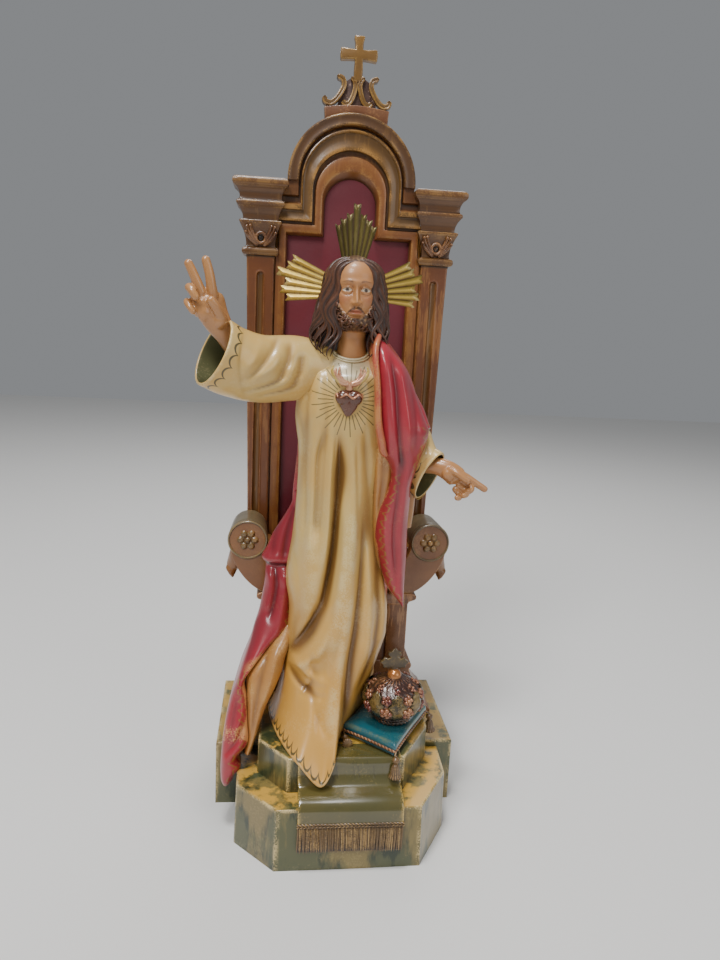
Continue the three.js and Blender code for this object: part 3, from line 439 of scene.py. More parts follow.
def painted(name, main, second, deep, worn, roughness=0.38, coat=0.5, rub=1.0, extra=None, clouds=0.8,
            flecks=0.35, metallic=0.0, bump=0.25, bump_scale=160.0, streaks=0.0):
    """Paint with patina: main and second in clouds, deep in the hollows as patina and, where a piece
    marks shade, as painted shade, worn on rubbed ridges and in stray flecks. extra(tree, colour) may
    paint a pattern over it and returns the new colour."""
    def inputs(tree):
        cloud = mask(tree, CLOUDS)
        colour = blend_colours(tree, times(tree, cloud, clouds), main, second)
        if extra:
            colour = extra(tree, colour)
        # deep follows the mesh's hollow value: patina in the hollows, and painted shade where a piece marks
        # it
        colour = blend_colours(tree, ramp(tree, attribute(tree, "hollow"), 0.05, 1.0), colour, deep)
        rubbed = times(tree, ramp(tree, attribute(tree, "wear"), 0.1, 0.9), mask(tree, RUBBED))
        colour = blend_colours(tree, times(tree, rubbed, rub, clamp=True), colour, worn)
        stray = mask(tree, STREAKS if streaks else FLECKS)
        return {
            "Base Color": blend_colours(tree, times(tree, stray, streaks or flecks), colour, worn),
            "Roughness": plus(tree, times(tree, cloud, 0.12), roughness),
            "Metallic": metallic,
            "Coat Weight": coat,
            "Coat Roughness": 0.16,
            "Normal": bump_from(tree, bump_scale, bump, BUMP_METRES),
        }

    return material_with(name, inputs)

# %% [markdown]
# ## The colours of the figure
# The robe is ivory that has yellowed to ochre in the folds. Around the heart thin olive rays are
# painted, long and short in turn, and the breast above it is rubbed to silvery white. The cloak is
# crimson with ochre ground showing at its edges; its lining is an ochre brown. The patterns are
# worked out from distances, so that nothing has to be unwrapped or drawn.

# %% Patterns painted on the robe
HEART = (-7.5, 440.0)
RAY_COUNT, SHORT_RAY, LONG_RAY = 34, 28.0, 34.0


def object_axes(tree):
    """Object coordinates in millimetres, as three values."""
    place = put(tree, "TexCoord").outputs["Object"]
    parts = put(tree, "SeparateXYZ", {0: place}).outputs
    return [times(tree, parts[i], 1000.0) for i in range(3)]


def painted_rays(tree, colour):
    """Olive strokes round the heart: a stroke runs where |sin(n a / 2)| < width / radius, between
    an inner radius and an outer one that alternates from stroke to stroke."""
    x, y, z = object_axes(tree)
    dx, dz = minus(tree, x, HEART[0]), minus(tree, z, HEART[1])
    squares = plus(tree, maths(tree, "POWER", dx, 2.0), maths(tree, "POWER", dz, 2.0))
    radius = maths(tree, "SQRT", squares)
    angle = times(tree, maths(tree, "ARCTAN2", dz, dx), RAY_COUNT / 2)
    wave = maths(tree, "ABSOLUTE", maths(tree, "SINE", angle))
    stroke = ramp(tree, times(tree, wave, times(tree, radius, 2.0 / RAY_COUNT)), 0.62, 0.3)
    long_one = ramp(tree, maths(tree, "COSINE", angle), -0.2, 0.2)
    reach = plus(tree, SHORT_RAY, times(tree, long_one, LONG_RAY - SHORT_RAY))
    inside = times(tree, ramp(tree, radius, 13.0, 14.5), maths(tree, "LESS_THAN", radius, reach))
    front = maths(tree, "LESS_THAN", y, -30.0)
    shown = times(tree, times(tree, stroke, inside), front)
    return blend_colours(tree, times(tree, shown, 0.85), colour, (0.09, 0.075, 0.03))


def silver_breast(tree, colour):
    """Rubbed silvery white in an ellipse under the collar."""
    x, _, z = object_axes(tree)
    across = maths(tree, "POWER", maths(tree, "DIVIDE", plus(tree, x, 4.0), 21.0), 2.0)
    up_down = maths(tree, "POWER", maths(tree, "DIVIDE", minus(tree, z, 471.0), 15.0), 2.0)
    patch = ramp(tree, plus(tree, across, up_down), 1.15, 0.5)
    return blend_colours(tree, times(tree, patch, 0.55), colour, (0.6, 0.56, 0.42))

# %% Painted lines along the hems
def edge_line(tree, colour, wanted, line, strength, paint):
    """A painted line inside an edge, where the distance in from it is near the one wanted. line is
    the pair of distances at which the line has faded out and is full."""
    inward = attribute(tree, "hem_in")
    off = maths(tree, "ABSOLUTE", minus(tree, inward, wanted))
    shown = times(tree, ramp(tree, off, *line), maths(tree, "GREATER_THAN", inward, 1.0))
    return blend_colours(tree, times(tree, shown, strength), colour, paint)


def hem_line(tree, colour):
    """A dark line of scallops inside a hem: the distance from the edge follows |sin| of the length
    along it. The two lengths come with the mesh, in millimetres."""
    along = times(tree, attribute(tree, "hem_along"), math.pi / 11.0)
    scallop = maths(tree, "POWER", maths(tree, "ABSOLUTE", maths(tree, "SINE", along)), 0.55)
    wanted = minus(tree, 10.5, times(tree, scallop, 5.5))
    return edge_line(tree, colour, wanted, (1.4, 0.7), 0.95, (0.07, 0.055, 0.02))


def robe_pattern(tree, colour):
    """The skirt turns from ivory to a warmer ochre towards the hem, under the other patterns."""
    _, _, z = object_axes(tree)
    colour = blend_colours(tree, times(tree, ramp(tree, z, 330.0, 130.0), 0.85), colour, (0.6, 0.3, 0.05))
    return hem_line(tree, painted_rays(tree, silver_breast(tree, colour)))


def cloak_border(tree, colour):
    """A gold scroll inside the cloak's edge: a line with two waves, by the same lengths as the
    hem's. Over it the ochre ground shows where the paint is worn off."""
    along = attribute(tree, "hem_along")
    wave = maths(tree, "SINE", times(tree, along, 2 * math.pi / 9.0))
    curl = maths(tree, "SINE", times(tree, along, 2 * math.pi / 4.1))
    wanted = plus(tree, plus(tree, 6.5, times(tree, wave, 1.8)), times(tree, curl, 0.7))
    colour = edge_line(tree, colour, wanted, (1.2, 0.5), 0.8, (0.27, 0.14, 0.03))
    ragged = plus(tree, attribute(tree, "bare"), times(tree, mask(tree, RUBBED), 0.5))
    return blend_colours(tree, ramp(tree, ragged, 0.75, 0.95), colour, (0.62, 0.28, 0.1))

# %% Colours of the figure
ROBE_PAINT = painted("robe_paint", (0.58, 0.4, 0.135), (0.6, 0.36, 0.09), (0.17, 0.075, 0.016),
                     (0.74, 0.6, 0.32), extra=robe_pattern, rub=0.5, flecks=0.1)
CLOAK_PAINT = painted("cloak_paint", (0.37, 0.022, 0.036), (0.3, 0.017, 0.03), (0.06, 0.005, 0.009),
                      (0.6, 0.26, 0.11), extra=cloak_border, rub=0.5, flecks=0.07, roughness=0.32)
LINING_PAINT = painted("lining_paint", (0.4, 0.18, 0.055), (0.5, 0.24, 0.05), (0.12, 0.045, 0.014),
                       (0.62, 0.4, 0.16), rub=0.6)
OCHRE_EDGE = painted("ochre_edge", (0.5, 0.2, 0.06), (0.42, 0.13, 0.045), (0.26, 0.04, 0.02),
                     (0.4, 0.04, 0.035), flecks=0.8, rub=0.8)
SKIN_PAINT = painted("skin_paint", (0.43, 0.2, 0.07), (0.38, 0.15, 0.05), (0.12, 0.04, 0.012),
                     (0.6, 0.36, 0.16), rub=0.5, flecks=0.1, roughness=0.3, bump=0.1)
HAIR_PAINT = painted("hair_paint", (0.05, 0.018, 0.009), (0.085, 0.03, 0.012), (0.012, 0.005, 0.003),
                     (0.17, 0.06, 0.022), rub=0.6, flecks=0.15, roughness=0.4, coat=0.25, clouds=0.6)
print("paints of the figure ready")

# %% [markdown]
# ## The robe
# The robe is turned from level slices: each slice is an oval whose left, right, front and back come
# from a table read off the silhouette. Below the knees it flares to a hem laid over the steps,
# whose front corner hangs over the edge. The carver's folds are then cut into the front: each is a
# line in X and Z with a width and a depth, the ridges being negative. A cloth simulation would fall
# softly; a carver cuts fewer and wider folds on purpose, so each one is given as a line.

# %% Robe tables
ROBE = [
    [200, -56, 46, -67, 30], [228, -55, 46, -65, 29], [255, -59, 41, -63, 27], [300, -54, 31, -59, 24],
    [345, -51, 29, -57, 21], [390, -51, 33, -57, 19], [425, -55, 39, -58, 17], [455, -50, 40, -55, 14],
    [474, -42, 34, -49, 8], [486, -28, 19, -43, -2], [493, -21, 12, -39, -8],
]
ROBE_TOP = 493.0
HEM = np.array([
    [40, 5, 101], [36, 26, 101], [12, 37, 101], [-30, 37, 101], [-64, 26, 101], [-73, 3, 102],
    [-67, -42, 102], [-55, -80, 101], [-43, -102, 98], [-22, -110, 80], [-9, -103, 97], [-3, -70, 102],
    [7, -42, 102], [24, -14, 101],
], float)
ROBE_FOLDS = [
    # the deep groove from the waist to the left, and the ridge that sweeps over it
    ([[-13, 392], [-13, 340], [-15, 300], [-19, 269], [-24, 243], [-30, 226], [-39, 207], [-48, 191],
      [-57, 178]],
     (5, 8), 7.5),
    ([[-8, 350], [-6, 290], [-9, 250], [-14, 222], [-24, 198], [-40, 180], [-60, 168]], (6, 9), -4.5),
    # broad front pleat, its right side falling off sharply
    ([[2, 330], [3, 280], [1, 235], [-4, 200], [-9, 160], [-14, 110]], 10, -4.5),
    ([[12, 330], [12, 275], [10, 242], [8, 214], [5, 189], [3, 154], [2, 121]], (3.2, 7), 7),
    ([[20, 300], [20, 274], [23, 240], [24, 212], [21, 180]], 4.5, -3.5),
    ([[31, 300], [32, 254], [33, 222], [30, 197], [25, 175], [17, 150]], (4, 6), 5.5),
    ([[40, 260], [41, 225], [40, 200]], 4, -2.0),
    # knee and the folds beside it
    ([[-36, 310], [-38, 270], [-42, 225]], 13, -5.0),
    ([[-55, 302], [-48, 272], [-46, 250], [-47, 233], [-50, 211], [-54, 190]], (4, 6), 3.2),
    ([[-12, 241], [-16, 217], [-18, 193], [-17, 167]], (5, 4), 2.0),
    # short slit and the soft loop above the hem
    ([[-33, 188], [-30, 172], [-33, 158], [-40, 149]], (3, 6), 3.0),
    ([[-53, 170], [-43, 158], [-30, 151]], (5, 9), 5.0),
    ([[-50, 182], [-38, 172], [-26, 165]], (7, 9), -2.6),
    ([[-30, 150], [-26, 135], [-20, 120]], (4, 6), 1.8),
    # waist and breast
    ([[-14, 400], [-12, 362], [-13, 339], [-16, 290], [-22, 250]], (1.6, 2.4), 2.4),
    ([[-20, 392], [-21, 360], [-21, 320], [-23, 285]], 4, -2.4),
    ([[-29, 408], [-33, 384], [-33, 346], [-34, 300]], (3, 4), 3.4),
    ([[-38, 405], [-38, 364], [-39, 320], [-40, 290]], 4, -1.6),
    ([[-43, 415], [-43, 364], [-42, 325], [-46, 285]], (3, 3.6), 3.2),
    ([[-53, 430], [-47, 400], [-48, 362], [-50, 340]], 3, 2.8),
    ([[-3, 400], [2, 367], [6, 328], [8, 291]], 6, -2.4),
    ([[10, 408], [15, 366], [20, 327], [24, 289]], (5, 4), 3.0),
    ([[-46, 485], [-43, 457], [-44, 429], [-45, 408]], (4, 3), 3.0),
    ([[-26, 430], [-27, 380], [-28, 330], [-31, 285]], 2.6, 1.8),
    ([[-17, 415], [-18, 370], [-18, 330], [-20, 280]], 2.2, 1.2),
    ([[3, 395], [6, 350], [8, 300], [7, 262]], 2.6, 1.6),
    ([[22, 360], [26, 320], [28, 280], [28, 240]], 2.6, 1.6),
    ([[-30, 240], [-36, 214], [-46, 196]], 3, 1.8),
    ([[-6, 210], [-12, 180], [-19, 150], [-25, 125]], 3.2, 1.6),
    ([[-36, 480], [-35, 455], [-36, 420]], 5, -1.6),
    ([[-28, 474], [-27, 450], [-28, 420]], 3.5, 1.2),
]
print(len(ROBE_FOLDS), "folds cut into the robe")

# %% Hem of the robe
HEM_CENTRE = (-12.0, -22.0)


def ring_spline(points, u):
    """A closed smooth curve through points at the parameters u in 0..1: periodic cubic spans."""
    n = len(points)
    at = np.asarray(u) % 1 * n
    i = np.floor(at).astype(int)
    f = (at - i)[..., None]
    p0, p1, p2, p3 = (points[(i + k) % n] for k in (-1, 0, 1, 2))
    return 0.5 * (2 * p1 + (p2 - p0) * f + (2 * p0 - 5 * p1 + 4 * p2 - p3) * f ** 2
                  + (3 * p1 - p0 - 3 * p2 + p3) * f ** 3)

# %% Robe surface
HEM_LIP = [
    # how far a ring of the rolled hem is drawn in, and how far it lies above the hem's line
    (0.05, -1.3), (0.012, -1.4), (0.0, -0.8), (0.0, 0.6), (0.004, 1.6),
]


def robe_grid(sides=280, skirt_rows=56, body_rows=150):
    """Rings from the hem up. Skirt: the hem curve drawn to the lowest oval by (1 - t)^p, with p
    smaller on the right. Body: ovals of the table. The folds push the front inwards along Y.
    Returns the points and the values that the paint reads."""
    u = np.arange(sides) / sides
    hem = ring_spline(HEM, u - 0.08 * np.sin(2 * np.pi * (u - 0.62)))
    z0, left, right_, front, back = ROBE[0]
    angle = np.arctan2((hem[:, 1] - HEM_CENTRE[1]) / (back - front),
                       (hem[:, 0] - HEM_CENTRE[0]) / (right_ - left))
    sine, cosine = np.sin(angle), np.cos(angle)

    def oval(z):
        """The table's ovals at the heights z, as rings."""
        left, right_, front, back = smooth_rows(ROBE, z)[:, 1:, None].transpose(1, 0, 2)
        return xyz((left + right_) / 2 + (right_ - left) / 2 * cosine,
                   (front + back) / 2 + (back - front) / 2 * sine, z[:, None])

    top = oval(np.array([z0]))[0]
    t = np.linspace(0, 1, skirt_rows, endpoint=False)[:, None, None]
    power = 2.1 - 1.0 * smooth_step(cosine / 0.9)
    skirt = top + (np.concatenate([hem[:, :2], top[:, 2:]], -1) - top) * (1 - t) ** power[None, :, None]
    skirt[..., 2] = hem[:, 2] + (z0 - hem[:, 2]) * t[..., 0]
    points = np.concatenate([skirt, oval(np.linspace(z0, ROBE_TOP, body_rows))])
    x, z = points[..., 0], points[..., 2]
    near_hem = smooth_step((z - hem[:, 2]) / 8)
    depth = 1.3 * folds_at(x, z, ROBE_FOLDS)[0] * np.sqrt(np.maximum(0, -sine))
    pleat = 1.8 * np.cos(13 * angle + 0.6) * np.maximum(0, sine)
    points[..., 1] += depth * near_hem + pleat * smooth_step((z - 100) / 40) * smooth_step((470 - z) / 40)
    points[..., 2] -= 17 * smooth_step((z - 452) / 40) * (1 - sine) / 2
    centre = np.array([*HEM_CENTRE, 0])
    lip = [hem - (hem - centre) * [shrink, shrink, 0] + [0, 0, low] for shrink, low in HEM_LIP]
    points[0] = points[0] - (points[0] - centre) * [0.012, 0.012, 0] + [0, 0, 2.4]
    points = np.concatenate([np.array(lip), points])
    pad = np.zeros((len(lip), sides))
    steps = np.linalg.norm(np.diff(points, axis=0), axis=-1)
    return points, {
        # The folds are browned by their depth: glaze that gathers in the hollows, and painted shade.
        "hollow": np.concatenate([pad, np.clip(depth / 6, 0, 1) * near_hem]) * 0.85,
        "wear": np.concatenate([pad + 0.5, np.clip(-depth / 6, 0, 1) * 0.7]),
        "hem_in": np.concatenate([pad[:1], np.cumsum(steps, axis=0)]) * 0.6,
        "hem_along": np.broadcast_to(run_along(hem), points.shape[:2]),
    }

# %% Collar and robe piece
def collar_ring(radius_x, radius_y, low, thick, wear):
    """A rolled band round the neckline, lower in front: z = low + 17 (1 + sin a) / 2."""
    a = round_angles(60)
    centres = xyz(-4.5 + radius_x * np.cos(a), -23.5 + radius_y * np.sin(a), low + 17 * (1 + np.sin(a)) / 2)
    ring = ellipse_rings(centres, xyz(np.cos(a), np.sin(a), 0), (0, 0, 1), thick, 1.3 * thick, 12)
    return part_of(ring, COLLAR_PAINT, wrap_rows=True, wear=wear)


COLLAR_PAINT = painted("collar_paint", (0.6, 0.5, 0.28), (0.55, 0.42, 0.2), (0.2, 0.12, 0.04),
                       (0.75, 0.66, 0.45))
robe_points, robe_values = robe_grid()
robe_parts = [part_of(robe_points, ROBE_PAINT, **robe_values),
              collar_ring(16.9, 16.0, 476.2, 0.95, 0.6), collar_ring(18.3, 17.8, 474.4, 0.65, 0.4)]
add_piece("robe", robe_parts, ["figure"])

# %% [markdown]
# ## Sleeves
# A sleeve is a tube along the arm. Its mouth is cut square, with a rounded lip and a hollow behind
# it, so one grid runs along the outside, round the lip and back down the inside. A thin tube with a
# Solidify modifier would do as well, but its lip would be square.

# %% Sleeves
def sleeve_grid(stations, depth_mm, wall, folds, sides=96, steps=120):
    """Rings along the outside, a half circle round the lip, then the inside to depth_mm. Returns
    the points and the values that the paint reads."""
    rows = smooth_path(stations, steps)
    centres, wide, high = rows[:, :3], rows[:, 3], rows[:, 4]
    across, over = path_frame(centres)
    outside = ellipse_rings(centres, across, over, wide, high, sides)
    depth, hollow, ridge = folds_at(outside[..., 0], outside[..., 2], folds)
    facing = np.clip((centres[:, None, 1] - outside[..., 1]) / np.maximum(wide, high)[:, None], 0, 1)
    outside[..., 1] += depth * np.sqrt(facing)
    run = run_along(centres)
    tip, last = centres[-1], outside[-1]
    forward = np.cross(over[-1], across[-1])
    forward *= np.sign(np.dot(forward, centres[-1] - centres[-2]))
    inward = unit(tip - last)
    rings = [outside]
    for a in np.linspace(0, np.pi, 9)[1:]:
        rings.append((last + inward * wall / 2 * (1 - math.cos(a)) + forward * wall / 2 * math.sin(a))[None])
    inner = last + inward * wall
    for back in np.linspace(0, 1, 14)[1:]:
        rings.append((inner + (tip - inner) * 0.18 * back - forward * depth_mm * back)[None])
    points = np.concatenate(rings)
    extra = len(points) - steps
    pad = np.zeros((extra, sides))
    wear = np.concatenate([ridge, pad])
    wear[steps - 2:steps + 5] = 0.7
    around = np.linspace(0, np.linalg.norm(np.diff(last, axis=0), axis=1).sum(), sides)
    from_lip = np.concatenate([run[-1] - run, np.zeros(extra)])
    # The inside is marked so that the paint darkens it, as painted shade in the sleeve.
    inside = np.arange(len(points)) >= steps + 6
    per_point = 0 * points[..., 0]
    return points, {"hollow": np.concatenate([hollow, pad]), "wear": wear,
                    "inside": inside[:, None] + per_point, "hem_in": from_lip[:, None] + per_point,
                    "hem_along": around + per_point}

# %% Both sleeves
def sleeve_pattern(tree, colour):
    """The scalloped line at the mouth, and dark olive painted inside it as the shade in the sleeve."""
    return blend_colours(tree, attribute(tree, "inside"), hem_line(tree, colour), (0.1, 0.1, 0.04))


SLEEVE_PAINT = painted("sleeve_cloth", (0.58, 0.4, 0.14), (0.6, 0.36, 0.09), (0.24, 0.11, 0.02),
                       (0.74, 0.6, 0.32), extra=sleeve_pattern, rub=0.5, flecks=0.1)
RIGHT_SLEEVE_FOLDS = [
    ([[-74, 494], [-78, 482], [-87, 468], [-99, 456]], (5, 3.5), 3.2),
    ([[-88, 492], [-92, 476], [-99, 464]], 5, -1.8),
    ([[-62, 488], [-66, 466], [-80, 451], [-97, 446]], (6, 4), 4.0),
    ([[-71, 482], [-78, 466], [-91, 457]], 5, -2.2),
    ([[-50, 478], [-55, 458], [-67, 446], [-88, 441]], (6, 4), 4.0),
    ([[-58, 470], [-70, 452], [-88, 446]], 4, -2.0),
    ([[-103, 496], [-105, 479], [-105, 454], [-102, 436]], (1.6, 3.5), 1.6),
]
right_sleeve, right_values = sleeve_grid([
    [-16, -14, 458, 20, 24], [-52, -22, 465, 25, 30], [-88, -39, 464, 25, 31], [-113, -53, 470, 25, 31.5],
    [-129, -62, 478, 26, 32],
], 34, 2.8, RIGHT_SLEEVE_FOLDS)
left_sleeve, left_values = sleeve_grid([
    [34, -12, 452, 20, 22], [49, -5, 423, 18.5, 23], [61, -12, 394, 17.5, 25], [71, -26, 372, 15.5, 27],
    [77.5, -33, 367, 15, 28],
], 24, 2.6, [([[72, 398], [71, 380], [66, 362]], (4, 3), 2.0)])
sleeve_parts = [part_of(right_sleeve, SLEEVE_PAINT, **right_values),
                part_of(left_sleeve, SLEEVE_PAINT, **left_values)]
add_piece("sleeves", sleeve_parts, ["figure"])

# %% [markdown]
# ## The cloak
# The cloak hangs over the left shoulder and forearm and ends in a point; behind, it falls over the
# seat and comes forward again down the left side as a train. Each part is built of slices whose
# front half follows the visible cloth and whose back half gives it the carved bulk. An open sheet
# would show its bare back, and closed slices have the bulk of wood.

# %% Cloak surfaces
def cloth_slices(table, rows, sides, folds=(), slant=0.0):
    """Slices [z, left, right, front, mid, back]: the front half is an oval from mid to front, the
    back half from mid to back. slant turns the slice about its middle: y += slant (x - middle).
    Returns the points, the hollows and ridges of the folds, the distances from the left and the
    right edge, and sin a, which is negative in front."""
    z = np.linspace(table[0][0], table[-1][0], rows)
    a = round_angles(sides)[None]
    left, right_, front, mid, back = smooth_rows(table, z)[:, 1:, None].transpose(1, 0, 2)
    x = (left + right_) / 2 + (right_ - left) / 2 * np.cos(a)
    s = np.sin(a)
    y = mid + np.where(s < 0, (mid - front) * s, (back - mid) * s) + slant * (x - (left + right_) / 2)
    depth, hollow, ridge = folds_at(x, z[:, None] + 0 * x, folds)
    points = xyz(x, y + depth * np.sqrt(np.maximum(0, -s)), z[:, None])
    return points, hollow, ridge, x - left, right_ - x, s


def lining(table, rows, sides, folds, rubbed=0.0):
    """Cloth of slices in the lining's paint."""
    points, hollow, ridge, *_ = cloth_slices(table, rows, sides, folds)
    return part_of(points, LINING_PAINT, hollow=hollow, wear=ridge + rubbed)

# %% The cloak over the left shoulder
CLOAK_FRONT = [
    [498, 14, 26, -34, -20, 8], [486, 12, 36, -49, -26, 12], [470, 12.5, 49, -58, -30, 15],
    [455, 13, 56, -60, -32, 17], [440, 15, 62, -61, -34, 18], [424, 17, 69, -62, -35, 16],
    [412, 19, 74, -62, -36, 15], [402, 21, 73, -61, -36, 14], [392, 25, 70, -59, -36, 12],
    [382, 33, 66, -57, -36, 8], [370, 38, 63, -54, -34, 2], [357, 37, 60, -52, -34, -4],
    [343, 33, 60, -50, -34, -6], [322, 27, 60, -48, -32, -6], [305, 27, 60.5, -47, -30, -4],
    [287, 31, 61, -45, -30, -4], [268, 36, 61, -44, -29, -6], [250, 44, 60.5, -43, -30, -12],
    [238, 54, 60, -42, -33, -22], [233, 58, 59.5, -41, -36, -28],
]
CLOAK_FRONT_FOLDS = [
    ([[30, 480], [36, 451], [39, 424], [43, 397], [48, 376]], (3, 5), 4.5),
    ([[40, 470], [46, 440], [50, 411], [50, 392]], 5, -3.0),
    ([[50, 460], [55, 436], [58, 412], [58, 396]], (4, 4), 2.6),
    ([[22, 488], [27, 462], [30, 434], [33, 404]], 4, -1.6),
    ([[44, 385], [45, 350], [44, 310], [50, 262]], (3, 4), 3.2),
    ([[52, 380], [52, 340], [52, 300], [55, 262]], 4, -2.0),
    ([[36, 350], [35, 320], [39, 285]], 4, -1.2),
]
front_points, front_hollow, front_ridge, from_left, from_right, front_side = cloth_slices(
    CLOAK_FRONT, 170, 124, CLOAK_FRONT_FOLDS, slant=0.18)
front_z = front_points[..., 2]
inside_edge = np.where(front_z > 372, from_right, from_left)
front_bare = np.where(front_z > 394, np.clip(0.9 - from_left / 6.0, 0, 1),
                      np.clip(0.7 - from_left / 4.0, 0, 1))
front_bare = front_bare + np.clip(0.6 - from_right / 3.0, 0, 1)
front_part = part_of(front_points, CLOAK_PAINT, hollow=front_hollow, wear=front_ridge * 0.5,
                     hem_in=np.where(front_z < 418, inside_edge + 1.0, 0.0), hem_along=front_z,
                     bare=np.clip(front_bare, 0, 1) * (front_side < 0.4))
print(len(CLOAK_FRONT_FOLDS), "folds in the cloak's front")

# %% The cloak's sheet over the upper arm
ARM_COVER_END_Z, ARM_COVER_GROWTH, ARM_COVER_ROUND = 400, 1.07, 135
arm_centre = left_sleeve.mean(1, keepdims=True)
covered = (arm_centre[:, 0, 2] > ARM_COVER_END_Z) & (np.arange(len(left_sleeve)) < 120)
arm_ring, arm_centre = left_sleeve[covered], arm_centre[covered]
arm_down = run_along(arm_centre[:, 0])[:, None] + 0 * arm_ring[..., 0]
arm_cover = part_of(arm_centre + (arm_ring - arm_centre) * ARM_COVER_GROWTH, CLOAK_PAINT,
                    hem_in=arm_down.max() - arm_down + 1.5,
                    hem_along=np.linspace(0, ARM_COVER_ROUND, arm_ring.shape[1]) + 0 * arm_down)

# %% Rolled edge, linings and the back of the cloak
edge_roll = tube([
    [20, -36, 500, 2.6, 3], [16, -51, 489, 2.8, 3.6], [17, -58, 465, 3.0, 4.0], [19.5, -60, 436, 3.3, 4.4],
    [23, -60, 410, 3.6, 4.6], [26.5, -58, 396, 3.6, 4.2], [31, -54, 389, 2.8, 3.0],
], 28, 120, up=(0, 1, 0))
roll_wave = 0.5 * np.sin(np.linspace(0, 19, 120))[:, None] * np.array([1.0, 0.4, 0])
edge_part = part_of(edge_roll + roll_wave[:, None], OCHRE_EDGE, wear=0.6)
lining_part = lining([
    [398, 19, 44, -47, -30, 4], [385, 19, 43, -46, -30, 4], [365, 20, 42, -44, -28, 4],
    [340, 21, 40, -41, -24, 4], [310, 23, 38, -38, -20, 4], [280, 26, 42, -33, -16, 4],
    [258, 32, 42, -24, -12, 2],
], 90, 90, [([[30, 392], [31, 360], [29, 330]], 4, 3.0), ([[24, 392], [25, 350], [26, 300]], 3, -1.5)])
beside_part = lining([
    [392, 50, 66, -36, -26, -4], [372, 50, 66, -34, -24, -4], [350, 50, 67, -32, -22, -4],
    [330, 51, 67, -31, -20, -4], [312, 53, 66, -29, -18, -4],
], 60, 70, [([[58, 385], [60, 350], [62, 318]], 4, 2.5)])

# %% Back of the cloak
BACK = [
    [492, -14, 36, -10, 0, 12], [470, -38, 54, -6, 4, 20], [420, -50, 72, -2, 8, 27],
    [380, -51, 74, 0, 10, 31], [340, -54, 68, 0, 12, 34], [300, -54, 56, 0, 14, 40],
    [270, -52, 53, 2, 20, 56], [245, -52, 53, 4, 24, 74], [216, -52, 53, 6, 30, 82],
]
BACK_PLEAT = 2.4
back_points, *_, back_side = cloth_slices(BACK, 90, 110)
back_z = back_points[..., 2]
pleats = 1 + np.cos(back_points[..., 0] / 7.5 + 0.5 * np.sin(back_z / 45))
pleats = pleats * np.maximum(0, back_side) * smooth_step((492 - back_z) / 40)
back_points[..., 1] -= BACK_PLEAT * pleats
back_part = part_of(back_points, CLOAK_PAINT, hollow=np.clip(pleats / 2, 0, 1) * 0.8,
                    wear=np.clip(1 - pleats, 0, 1) * 0.7)
add_piece("cloak", [front_part, arm_cover, edge_part, lining_part, beside_part, back_part],
          ["figure"])

# %% [markdown]
# ## The train of the cloak
# On the left the cloak comes forward over the seat and runs down beside the steps. Half way down
# its edge turns over, and the ochre lining shows between the red and the robe. It has a table of
# its own, because it turns forward as it falls.

# %% Train
TRAIN = [
    [340, -52, -38, -3, 6, 28], [325, -56, -38, -4, 6, 29], [310, -64, -38, -6, 6, 31],
    [293, -74, -40, -9, 6, 33], [280, -79, -42, -12, 5, 34], [270, -84, -44, -13, 4, 35],
    [263, -80, -45, -7, 6, 34], [255, -80, -45, -13, 3, 34], [241, -81, -46, -16, 1, 35],
    [228, -83, -47, -19, -2, 35], [215, -85.5, -49, -23, -5, 35], [200, -90, -55, -29, -10, 35],
    [185, -94, -71, -36, -16, 34], [170, -99.5, -85, -44, -24, 28], [154, -105, -97, -50, -36, 20],
    [140, -110, -95, -53, -40, 10], [125, -113.5, -94, -56, -44, 0], [110, -116, -93, -59, -48, -8],
    [90, -118, -93, -61, -50, -14], [75, -119, -103, -62, -50, -17], [66, -119.4, -99, -62, -50, -20],
    [58, -119.2, -104, -61, -50, -24], [50, -118.6, -107.5, -59, -49, -30],
    [46.5, -117.5, -110, -57, -48, -36],
]
TRAIN_FOLDS = [
    ([[-62, 335], [-70, 300], [-74, 275]], (4, 5), 3.0),
    ([[-50, 330], [-58, 300], [-62, 272]], (5, 5), 3.6),
    ([[-70, 262], [-68, 245], [-70, 228], [-74, 212]], (4, 4), 4.2),
    ([[-76, 258], [-75, 240], [-78, 220]], 3.5, -2.2),
    ([[-60, 262], [-60, 240], [-62, 220], [-66, 200]], 5, -3.0),
    ([[-52, 258], [-51, 235], [-54, 212]], (3, 4), 3.5),
    ([[-86, 212], [-92, 185], [-99, 160]], (2, 4), 1.8),
    ([[-104, 140], [-108, 115], [-112, 92]], (3, 4), 2.6),
    ([[-98, 128], [-104, 112], [-113, 98]], 3, -1.6),
    ([[-97, 112], [-104, 96], [-113, 84]], 3, 2.4),
]
print(len(TRAIN_FOLDS), "folds in the train")

